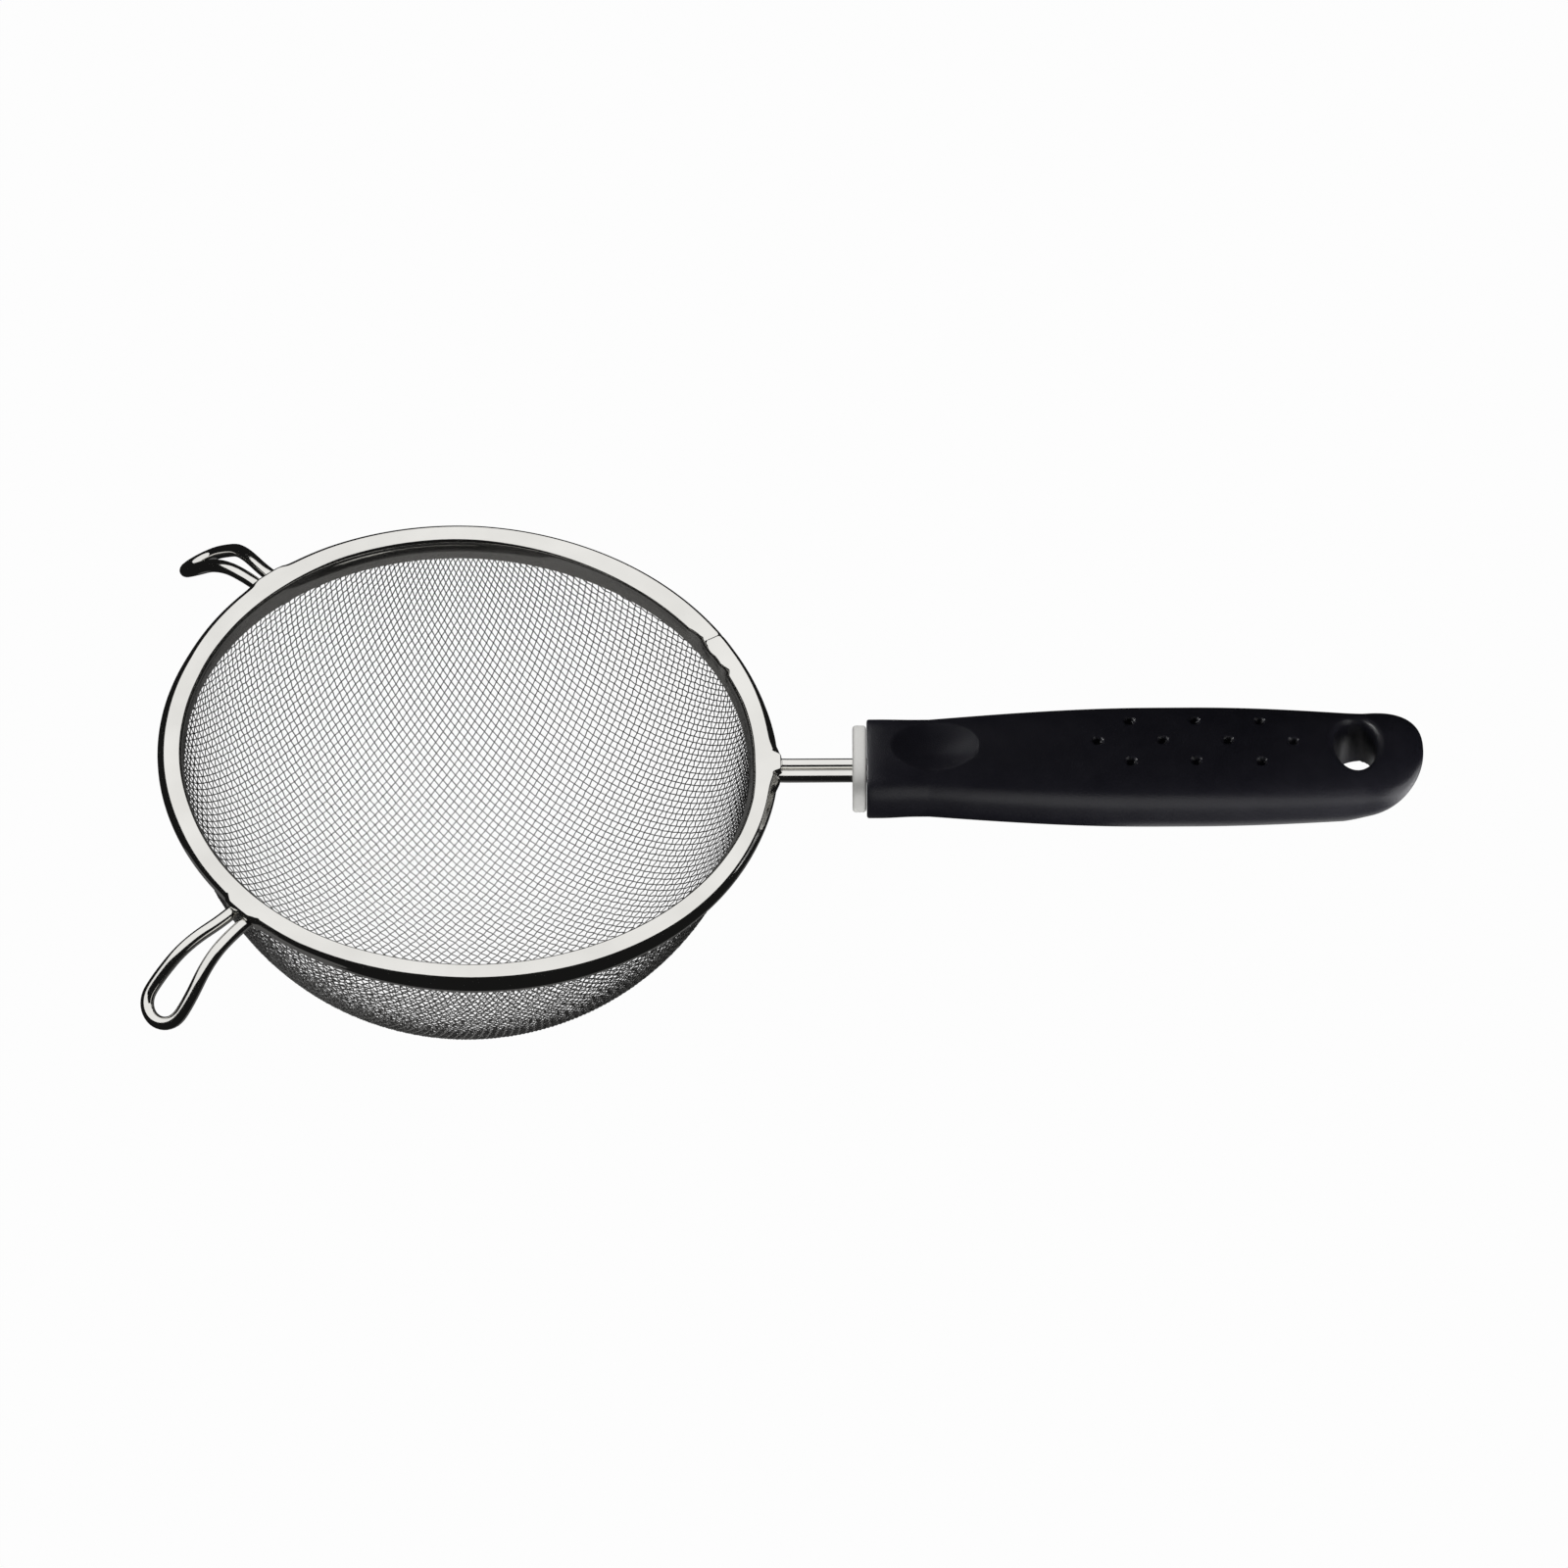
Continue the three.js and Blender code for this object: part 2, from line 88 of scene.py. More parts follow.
# Laying out its net: longest reach from the middle, fewest points in a thread, and the share of a pitch under
# which a cell's diagonal counts as folded flat
CLOTH_REACH = 120
SHORTEST_THREAD = 4
FLAT_CELL = 0.3
MERIDIAN_END = 0.5 * math.pi + 0.1
MERIDIAN_STEPS = 4000
SOLVER_ROUNDS = 12
SOLVER_LIMIT = 1e-9

# Frame wire: one length bent into a hoop, two ears and the stem. The turn's radius gives where a straight
# starts, and the bend's how tightly the wire turns into it.
WIRE_RADIUS = 1.5
WIRE_SIDES = 20
WIRE_SHARP = 60
HOOP_RADIUS = 66.85
HOOP_HEIGHT = 63.7
HOOP_SPACING = math.radians(1.0)
TURN_RADIUS = 4.0
BEND_RADIUS = 2.2
BEND_POINTS = 15
STEM_OFFSET = 1.65
STEM_PITCH = math.radians(4.5)
STEM_POINTS = 60
TANG_END = 135.0
EAR_AZIMUTH = math.radians(180 - 46.7)
EAR_ROOT = 2.15
EAR_TIP = 4.8
EAR_ARM = 6.9
EAR_ARM_SLOPE = math.radians(7.5)
EAR_CURVE = 16.0
EAR_HOOK_SLOPE = math.radians(44.4)
EAR_HOOK = 12.9
EAR_BEND = EAR_CURVE * (EAR_HOOK_SLOPE - EAR_ARM_SLOPE)
EAR_LENGTH = EAR_ARM + EAR_BEND + EAR_HOOK
EAR_SPREAD = (0.02, 0.96)
EAR_LEG_POINTS = 44
EAR_TIP_POINTS = 31
FINE_SPACING = 0.4
EASING_ROUNDS = 6
PATH_SPACING = 0.7

# Handle: half width, and reach up and down, each at its front, its swell and its tail
GRIP_SIDES = (11.3, 14.6, 13.0)
GRIP_UPS = (7.8, 8.5, 7.0)
GRIP_DOWNS = (7.8, 8.5, 8.0)
GRIP_SECTION_POWER = 3.0
GRIP_FRONT = 90.0
GRIP_LENGTH = 125.0
GRIP_RISE = 0.6
GRIP_WAIST = 14.0
GRIP_SWELL_AT = 73.0
GRIP_SWELL_RATE = 1.15
GRIP_TAIL_ROUND = 13.0
GRIP_TAIL_PLAN = 12.0
GRIP_TAIL_SWEEP = 18.0
GRIP_TAIL_AT = GRIP_LENGTH - GRIP_TAIL_ROUND
GRIP_PLAN_POWER = 2.3
GRIP_TOP_POWER = 5
GRIP_UNDER_POWER = 1.25
GRIP_TIP_LIFT = 5.7
GRIP_LIP = 0.35
GRIP_LIP_FADE = (3.0, 8.0)
GRIP_LIP_SIDE = 0.5
GRIP_FRONT_EDGE = 0.55
GRIP_EDGE_POINTS = 6
GRIP_COLUMNS = 176
GRIP_SHARP = 42
GRIP_WELD = 1e-7

# Rings of the handle: in the wires' slot, as depth and share of its outline; over the front face, as shares
# of the handle's outline and the slot's; and along the grip, as start, end and spacing
GRIP_SLOT_ROOM = 0.3
GRIP_SLOT_RINGS = ((45.3, 0.0), (45.3, 1.0), (20.0, 1.0), (0.3, 1.0), (0.0, 1.06))
GRIP_FACE_RINGS = ((0.45, 0.55), (0.8, 0.0), (0.9, 0.0))
GRIP_RINGS = ((1.4, 4.9, 0.5), (5.0, 27.0, 0.4), (27.0, 48.0, 0.8), (48.0, 99.0, 0.28),
              (99.0, GRIP_TAIL_AT, 0.3))
GRIP_TAIL_RINGS = 56

# How closely points lie round a section: traced on a typical oval, closest on its top and widest underneath
OVAL_TYPICAL = (14.0, 8.5, 8.5)
OVAL_TRACE = 40001
OVAL_TOP = (5.5, 2.4)
OVAL_UNDER = (-4, 0.8)
OVAL_BETWEEN = 1.3

# Thumb hollow, dimples in three rows and hanging hole, in the handle's frame
THUMB_AT = 15.4
THUMB_HALVES = (9.9, 7.3)
THUMB_DEPTH = 1.8
THUMB_POWER = 1.15
DIMPLE_MIDDLE = (GRIP_SWELL_AT + 0.85, 0.5)
DIMPLE_PITCHES = (14.6, 6.1)
DIMPLES_IN_MIDDLE_ROW = 4
DIMPLE_RADIUS = 1.25
DIMPLE_DEPTH = 1.3
DIMPLE_POWER = 0.7
HOLE_AT = 109.9
HOLE_ACROSS = 1.2
HOLE_TOP = (4.9, 7.5)
HOLE_UNDER = (4.8, 5.9)
HOLE_FLARE = 2.0
HOLE_UNDER_FLARE = 0.8
HOLE_DRAFT_HALF_HEIGHT = 7.5
BORE_SIDES = 96
BORE_RINGS = 9
BORE_HALF_LENGTH = 24
BORE_ROOM = 0.06

# Collar, in the handle's frame
COLLAR_THICKNESS = 2.9
COLLAR_BACK = -0.06
COLLAR_FRONT = -0.3 - COLLAR_THICKNESS
COLLAR_STEP = 1.2
COLLAR_ROUND = 0.75
COLLAR_ROUND_POINTS = 7
COLLAR_SLOT_ROOM = 0.25
COLLAR_SLOT_EDGE = 1.08
COLLAR_SLOT_DEPTHS = (0.25, 0.2)
COLLAR_FACE_SHARES = (0.35, 0.7)
COLLAR_COLUMNS = 128
COLLAR_SHARP = 50

rng = np.random.default_rng(7)


def build(name, verts, faces, material, sharp=None):
    """A mesh piece from points in millimetres, with edges sharp past an angle in degrees."""
    mesh = bpy.data.meshes.new(name)
    mesh.from_pydata((np.asarray(verts, float) * MM).tolist(), [], [list(map(int, f)) for f in faces])
    mesh.validate()
    mesh.shade_smooth()
    if sharp is not None:
        mesh.set_sharp_from_angle(angle=math.radians(sharp))
    mesh.materials.append(material)
    piece = bpy.data.objects.new(name, mesh)
    bpy.context.scene.collection.objects.link(piece)
    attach(piece, "root")
    return piece


def unit(v):
    return v / np.linalg.norm(v, axis=-1, keepdims=True)


def loft_faces(rows, cols, closed_rows=False, start=0):
    """Quads between neighbouring rings of points, each ring closed."""
    r = np.arange(rows if closed_rows else rows - 1)[:, None]
    c = np.arange(cols)[None, :]
    n = (r + 1) % rows
    d = (c + 1) % cols
    quads = np.stack([r * cols + c, r * cols + d, n * cols + d, n * cols + c], -1).reshape(-1, 4)
    return quads + start


def capped_faces(rows, cols, start=0):
    """The quads of a tube and a face over each of its ends."""
    first = [start + k for k in range(cols)][::-1]
    last = [start + (rows - 1) * cols + k for k in range(cols)]
    return loft_faces(rows, cols, start=start).tolist() + [first, last]


def ring_directions(sides, up, across):
    """Directions round a path at even angles, from its upward and sideways ones."""
    angle = 2 * math.pi * np.arange(sides) / sides
    upward = np.cos(angle)[None, :, None] * up[:, None, :]
    return upward + np.sin(angle)[None, :, None] * across[:, None, :]


def smooth(t):
    t = np.clip(t, 0, 1)
    return t * t * (3 - 2 * t)


def past(values, start, run):
    """0 up to a start and 1 from a run past it, eased between."""
    return smooth((values - start) / run)


def before(values, end, run):
    """1 up to a run before an end and 0 from the end on, eased between."""
    return smooth((end - values) / run)


# Materials

def node_material(name):
    material = bpy.data.materials.new(name)
    material.use_nodes = True
    nodes = material.node_tree.nodes
    shader = nodes["Principled BSDF"]
    return material, nodes, material.node_tree.links, shader


def noise(nodes, links, scale, detail, stretch=None):
    coords = nodes.new("ShaderNodeTexCoord")
    texture = nodes.new("ShaderNodeTexNoise")
    texture.inputs["Scale"].default_value = scale
    texture.inputs["Detail"].default_value = detail
    if stretch:
        mapping = nodes.new("ShaderNodeMapping")
        mapping.inputs["Scale"].default_value = stretch
        links.new(coords.outputs["Object"], mapping.inputs["Vector"])
        links.new(mapping.outputs["Vector"], texture.inputs["Vector"])
    else:
        links.new(coords.outputs["Object"], texture.inputs["Vector"])
    return texture.outputs["Fac"]


def ranged(nodes, links, value, low, high, start=0.3, end=0.7):
    """A value spread over a range, by default from the middle of a noise."""
    node = nodes.new("ShaderNodeMapRange")
    node.inputs["From Min"].default_value = start
    node.inputs["From Max"].default_value = end
    node.inputs["To Min"].default_value = low
    node.inputs["To Max"].default_value = high
    links.new(value, node.inputs["Value"])
    return node.outputs["Result"]


def tinted(nodes, links, value, dark, light, start=0.3, end=0.7):
    """A value turned into colours between two, by default from the middle of a noise."""
    ramp = nodes.new("ShaderNodeValToRGB")
    ramp.color_ramp.elements[0].position = start
    ramp.color_ramp.elements[0].color = (*dark, 1)
    ramp.color_ramp.elements[1].position = end
    ramp.color_ramp.elements[1].color = (*light, 1)
    links.new(value, ramp.inputs["Fac"])
    return ramp.outputs["Color"]


def bump(nodes, links, value, shader, strength, distance):
    node = nodes.new("ShaderNodeBump")
    node.inputs["Strength"].default_value = strength
    node.inputs["Distance"].default_value = distance
    links.new(value, node.inputs["Height"])
    links.new(node.outputs["Normal"], shader.inputs["Normal"])


def polished_steel(name):
    material, nodes, links, shader = node_material(name)
    shader.inputs["Metallic"].default_value = 1.0
    cloud = noise(nodes, links, scale=60, detail=4)
    colour = tinted(nodes, links, cloud, dark=(0.74, 0.73, 0.70), light=(0.82, 0.81, 0.78))
    links.new(colour, shader.inputs["Base Color"])
    rub = noise(nodes, links, scale=900, detail=5, stretch=(1, 1, 6))
    links.new(ranged(nodes, links, rub, low=0.05, high=0.13), shader.inputs["Roughness"])
    return material


def cloth_steel(name):
    """Drawn wire, with painted light and shade in its colour: lighter at the bottom of the bowl and darker up
    its sides, as the photo shows it.
    """
    material, nodes, links, shader = node_material(name)
    shader.inputs["Metallic"].default_value = 1.0
    grain = noise(nodes, links, scale=900, detail=3)
    coords = nodes.new("ShaderNodeTexCoord")
    split = nodes.new("ShaderNodeSeparateXYZ")
    links.new(coords.outputs["Object"], split.inputs["Vector"])
    # Painted light and shade: the colour is mixed by height, from a lighter steel at the bottom of the bowl
    # to near black up its sides, where the wires are to look shaded.
    height = ranged(nodes, links, split.outputs["Z"], low=0.0, high=1.0, start=0.002, end=0.05)
    painted_shade_mix = nodes.new("ShaderNodeMixRGB")
    links.new(height, painted_shade_mix.inputs["Fac"])
    bottom = tinted(nodes, links, grain, dark=(0.36, 0.356, 0.348), light=(0.50, 0.494, 0.483))
    links.new(bottom, painted_shade_mix.inputs["Color1"])
    painted_shade_walls = tinted(nodes, links, grain, dark=(0.055, 0.054, 0.053), light=(0.095, 0.094, 0.092))
    links.new(painted_shade_walls, painted_shade_mix.inputs["Color2"])
    links.new(painted_shade_mix.outputs["Color"], shader.inputs["Base Color"])
    links.new(ranged(nodes, links, grain, low=0.22, high=0.38), shader.inputs["Roughness"])
    return material


def satin_collar(name):
    material, nodes, links, shader = node_material(name)
    shader.inputs["Metallic"].default_value = 0.1
    grain = noise(nodes, links, scale=1500, detail=4, stretch=(1, 6, 6))
    colour = tinted(nodes, links, grain, dark=(0.72, 0.715, 0.69), light=(0.80, 0.795, 0.77))
    links.new(colour, shader.inputs["Base Color"])
    links.new(ranged(nodes, links, grain, low=0.42, high=0.55), shader.inputs["Roughness"])
    bump(nodes, links, grain, shader, strength=0.15, distance=0.00003)
    return material


def matt_plastic(name):
    material, nodes, links, shader = node_material(name)
    shader.inputs["Specular IOR Level"].default_value = 0.4
    cloud = noise(nodes, links, scale=180, detail=4)
    colour = tinted(nodes, links, cloud, dark=(0.009, 0.0088, 0.0135), light=(0.013, 0.0127, 0.018))
    links.new(colour, shader.inputs["Base Color"])
    grain = noise(nodes, links, scale=3600, detail=2)
    links.new(ranged(nodes, links, grain, low=0.28, high=0.40), shader.inputs["Roughness"])
    bump(nodes, links, grain, shader, strength=0.5, distance=0.00012)
    return material


STEEL = polished_steel("polished_steel")
WIRE_STEEL = polished_steel("drawn_wire")
CLOTH_STEEL = cloth_steel("wire_cloth")
COLLAR_SATIN = satin_collar("satin_collar")
BLACK = matt_plastic("matt_black")


# Woven wire cloth: a net of equal cells laid over the bowl from its middle

def on_meridian(length):
    """Radius and height on the bowl at a length from its bottom."""
    steps = np.linspace(0, MERIDIAN_END, MERIDIAN_STEPS)
    r = CLOTH_RADIUS * np.sin(steps)
    z = CLOTH_EQUATOR - CLOTH_DEPTH * np.cos(steps)
    run = np.concatenate([[0], np.cumsum(np.hypot(np.diff(r), np.diff(z)))])
    return np.interp(length, run, r), np.interp(length, run, z)


def fourth_corner(p, q, guess):
    """The point on the bowl that is one pitch from p and the other pitch from q, or None."""
    a, b, c = CLOTH_RADIUS, CLOTH_DEPTH, CLOTH_EQUATOR
    pitch_u, pitch_v = CLOTH_PITCHES
    x = guess.copy()
    for _ in range(SOLVER_ROUNDS):
        dp, dq = x - p, x - q
        f = np.array([
            dp @ dp - pitch_u ** 2,
            dq @ dq - pitch_v ** 2,
            (x[0] ** 2 + x[1] ** 2) / a ** 2 + (x[2] - c) ** 2 / b ** 2 - 1,
        ])
        slope = [2 * x[0] / a ** 2, 2 * x[1] / a ** 2, 2 * (x[2] - c) / b ** 2]
        jac = np.array([2 * dp, 2 * dq, slope])
        if abs(np.linalg.det(jac)) < SOLVER_LIMIT:
            return None
        step = np.linalg.solve(jac, f)
        x = x - step
        if np.abs(step).max() < SOLVER_LIMIT:
            return x
    return None


def net_quadrant():
    """Crossings of a quarter of the cloth, whose cells keep the lengths of their sides."""
    pitch_u, pitch_v = CLOTH_PITCHES
    highest = CLOTH_TOP + pitch_v
    net = {}
    count = int(CLOTH_REACH / min(CLOTH_PITCHES))
    for k in range(count):
        r, z = on_meridian(k * pitch_u)
        if z <= highest:
            net[k, 0] = np.array([r, 0.0, z])
        r, z = on_meridian(k * pitch_v)
        if z <= highest:
            net[0, k] = np.array([0.0, r, z])
    for i in range(1, count):
        for j in range(1, count):
            if (i - 1, j) not in net or (i, j - 1) not in net:
                break
            corner = net[i - 1, j - 1]
            p, q = net[i - 1, j], net[i, j - 1]
            found = fourth_corner(p, q, p + q - corner)
            if found is None or found[2] > highest:
                break
            if np.linalg.norm(found - corner) < FLAT_CELL * pitch_u:
                break
            net[i, j] = found
    return net


def cloth_threads():
    """Runs of crossing points, as family (0 warp, 1 weft), index, points, and signs of over and under."""
    net = net_quadrant()
    top = max(max(k) for k in net)
    c, s = math.cos(CLOTH_TURN), math.sin(CLOTH_TURN)

    def place(i, j):
        key = (abs(i), abs(j))
        if key not in net:
            return None
        u, v, z = net[key]
        u = math.copysign(u, i) if i else 0.0
        v = math.copysign(v, j) if j else 0.0
        return (c * u - s * v, s * u + c * v, z)

    threads = []
    for index in range(-top, top + 1):
        for family in (0, 1):
            run = []
            for k in range(-top, top + 1):
                i, j = (index, k) if family == 0 else (k, index)
                point = place(i, j)
                if point is not None:
                    run.append((*point, 1 if (i + j + family) % 2 == 0 else -1))
            if len(run) >= SHORTEST_THREAD:
                run = np.array(run)
                threads.append((family, index, run[:, :3], run[:, 3]))
    return threads


def cloth_normal(p):
    n = np.column_stack([p[:, 0] / CLOTH_RADIUS ** 2, p[:, 1] / CLOTH_RADIUS ** 2,
                         (p[:, 2] - CLOTH_EQUATOR) / CLOTH_DEPTH ** 2])
    return unit(n)


def thread_tube(points, signs):
    """Points of a crimped wire through its crossings, over one and under the next, and its count of rings."""
    points = points + rng.normal(0, CLOTH_UNEVEN, points.shape)
    share = np.arange(CLOTH_STEPS) / CLOTH_STEPS
    path = points[:-1, None] * (1 - share)[None, :, None] + points[1:, None] * share[None, :, None]
    path = np.concatenate([path.reshape(-1, 3), points[-1:]])
    lift = np.append(np.outer(signs[:-1], np.cos(math.pi * share)).ravel(), signs[-1])
    normal = cloth_normal(path)
    path = path + normal * (lift * CLOTH_CRIMP * CLOTH_WIRE)[:, None]
    keep = path[:, 2] < CLOTH_TOP
    path, normal = path[keep], normal[keep]
    if len(path) < SHORTEST_THREAD:
        return None
    tangent = unit(np.gradient(path, axis=0))
    across = unit(np.cross(tangent, normal))
    up = np.cross(across, tangent)
    ring = ring_directions(CLOTH_SIDES, up, across)
    verts = (path[:, None, :] + 0.5 * CLOTH_WIRE * ring).reshape(-1, 3)
    return verts, len(path)


def woven_cloth():
    groups = {}
    for family, index, points, signs in cloth_threads():
        thread = thread_tube(points, signs)
        if thread is None:
            continue
        verts, rows = thread
        half = "a" if index < 0 else "b"
        name = f"{'warp' if family == 0 else 'weft'}_wires_{half}"
        group = groups.setdefault(name, {"verts": [], "faces": [], "count": 0})
        group["verts"].append(verts)
        group["faces"] += capped_faces(rows, CLOTH_SIDES, start=group["count"])
        group["count"] += len(verts)
    for name, group in sorted(groups.items()):
        piece = build(name, np.concatenate(group["verts"]), group["faces"], CLOTH_STEEL)
        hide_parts("mesh_bowl")


# Rim band

# Where wires leave the rim: azimuth, offset of the wires and half width of the notch over them. Then, by the
# distance along the rim, a bulge as (height, full up to, fade), and a tongue that the sheet runs out into and
# a pinch of its outer wall, each as (amount, end, fade).
Notch = namedtuple("Notch", "azimuth offset half bulge tongue pinch")
STEM_NOTCH = Notch(0.0, STEM_OFFSET, 3.9, (0.75, 2.6, 3.2), (2.0, 3.5, 1.6), (0.75, 4.0, 1.6))
FAR_EAR_NOTCH = Notch(EAR_AZIMUTH, EAR_ROOT, 4.3, (0.45, 3.2, 2.2), (0.7, 5.4, 2.8), (0.65, 4.8, 1.8))
NEAR_EAR_NOTCH = FAR_EAR_NOTCH._replace(azimuth=-EAR_AZIMUTH, tongue=(1.6, 5.4, 2.8))
NOTCHES = (STEM_NOTCH, FAR_EAR_NOTCH, NEAR_EAR_NOTCH)

# A notch's roof over a wire, how it ends, and how far its inner edge is set in, as a share of the sheet
NOTCH_ROOF = 1.58
NOTCH_MARGIN = 0.5
NOTCH_FADE = 0.9
NOTCH_INSIDE = 0.9

# The cuff at the stem: bulges that only the lower part of the outer wall takes
STEM_FLARES = ((0.6, 0.0, 17), (1.3, 2.6, 4.0))

# The seam's azimuth, with a step beside it and a groove along it, and dents as (azimuth, half width, depth)
SEAM = math.radians(34.6)
SEAM_STEP = 0.035
SEAM_STEP_RUN = 2.6
SEAM_GROOVE = 0.16
SEAM_GROOVE_HALF = 0.6
DENTS = ((math.radians(36.7), 2.3, 0.6), (math.radians(32.0), 1.4, -0.25), (math.radians(26.0), 1.5, 0.5))

# Where parts of the section start and how far they fade: by radius, by height or depth from the rim's top,
# and for the inner wall by height over its foot
OUTER_WALL = (66.6, 1.3)
OUTER_EDGE = (65.3, 2.1)
INNER_EDGE = (66.2, 1.8)
UPPER_PART = (-3.0, 1.8)
TOP_FACE = (-2.0, 1.2)
FLARE_DEPTH = (0.7, 1.6)
INNER_WALL_FADE = 4.2

# How far the rim is out of round at its inner and outer edges, in mm by azimuth in degrees
INNER_DRIFT = (
    (0, 0), (16, -0.1), (24, -0.35), (42, -0.55), (56, -0.4), (66, -0.15), (76, 0.2), (90, 0.5),
    (120, 0.55), (140, 0), (152, -0.3), (164, -0.5), (176, -0.25), (188, 0.1), (200, 0.3), (208, 0.6),
    (216, 0.85), (226, 1.0), (240, 0.9), (248, 0.65), (256, 0.2), (264, 0), (280, -0.3), (292, -0.35),
    (304, -0.15), (316, 0.2), (328, 0.6), (340, 0.9), (350, 0.7))
OUTER_DRIFT = (
    (0, 0.1), (10, 0), (30, 0), (45, 0.3), (60, 0.6), (90, 1.1), (120, 1.1), (135, 0.8), (148, 0.3),
    (160, -0.2), (176, -0.2), (190, 0), (204, 0.25), (214, 0.6), (228, 0.9), (240, 1.0), (248, 0.6),
    (256, 0.25), (264, 0), (285, -0.1), (296, 0.1), (304, 0.25), (316, 0.4), (345, 0.4))

# Sections of the rim, in degrees apart, and closer ones at (azimuth, span to each side, spacing)
RIM_SPACING = 1.0
RIM_LEAST_SPACING = 0.02
RIM_CLOSER = ((0.0, 8.0, 0.15), (EAR_AZIMUTH, 7.0, 0.15), (-EAR_AZIMUTH, 7.0, 0.15),
              (math.radians(31.5), 9.0, 0.2), (SEAM, 1.4, 0.05))


def arc(x, z, radius, start, end, steps):
    """Points of an arc between two angles in degrees."""
    t = np.radians(np.linspace(start, end, steps + 1))
    return np.column_stack([x + radius * np.cos(t), z + radius * np.sin(t)])


def facing(degrees):
    return np.array([math.cos(math.radians(degrees)), math.sin(math.radians(degrees))])


def wrapped(angle):
    return (angle + math.pi) % (2 * math.pi) - math.pi


def round_table(table, azimuth):
    """A value read from a table of azimuths in degrees, which closes on itself."""
    places, values = zip(*table)
    return float(np.interp(math.degrees(azimuth), places, values, period=360))


def bulged(along, height, full, fade):
    """A bulge's height at a distance along the rim from its middle."""
    return height * math.exp(-(max(0.0, along - full) / fade) ** 2)


def at_notches(azimuth):
    """The height of the band's lower edge at an azimuth, and its bulge, flare, tongue and pinch there."""
    low = -RIM_HEIGHT
    bulge = 0.0
    tongue = 0.0
    pinch = 0.0
    for notch in NOTCHES:
        along = abs(wrapped(azimuth - notch.azimuth)) * RIM_RADIUS
        beside = min(max(0.0, along - notch.offset), NOTCH_ROOF)
        roof = HOOP_HEIGHT - RIM_TOP + math.sqrt(NOTCH_ROOF ** 2 - beside ** 2)
        blend = float(before(along, notch.half + NOTCH_MARGIN, NOTCH_FADE))
        low = max(low, low + (roof - low) * blend)
        bulge = max(bulge, bulged(along, *notch.bulge))
        amount, end, fade = notch.tongue
        tongue = max(tongue, amount * float(before(along, end, fade)))
        amount, end, fade = notch.pinch
        pinch = max(pinch, amount * float(before(along, end, fade)))
    along = abs(wrapped(azimuth - STEM_NOTCH.azimuth)) * RIM_RADIUS
    flare = max(bulged(along, *each) for each in STEM_FLARES) - bulged(along, *STEM_NOTCH.bulge)
    return low, bulge, flare, tongue, pinch


def at_seam(azimuth):
    """How far the inner wall is dented and the top is sunk at an azimuth."""
    dent = 0.0
    for at, width, depth in DENTS:
        dent += depth * math.exp(-abs(wrapped(azimuth - at) * RIM_INNER / width) ** 3)
    cut = wrapped(azimuth - SEAM) * RIM_RADIUS
    step = -SEAM_STEP * float(past(cut, -SEAM_STEP_RUN, SEAM_STEP_RUN)) if cut < 0 else 0.0
    groove = -SEAM_GROOVE * math.exp(-(cut / SEAM_GROOVE_HALF) ** 2)
    return dent, step + groove


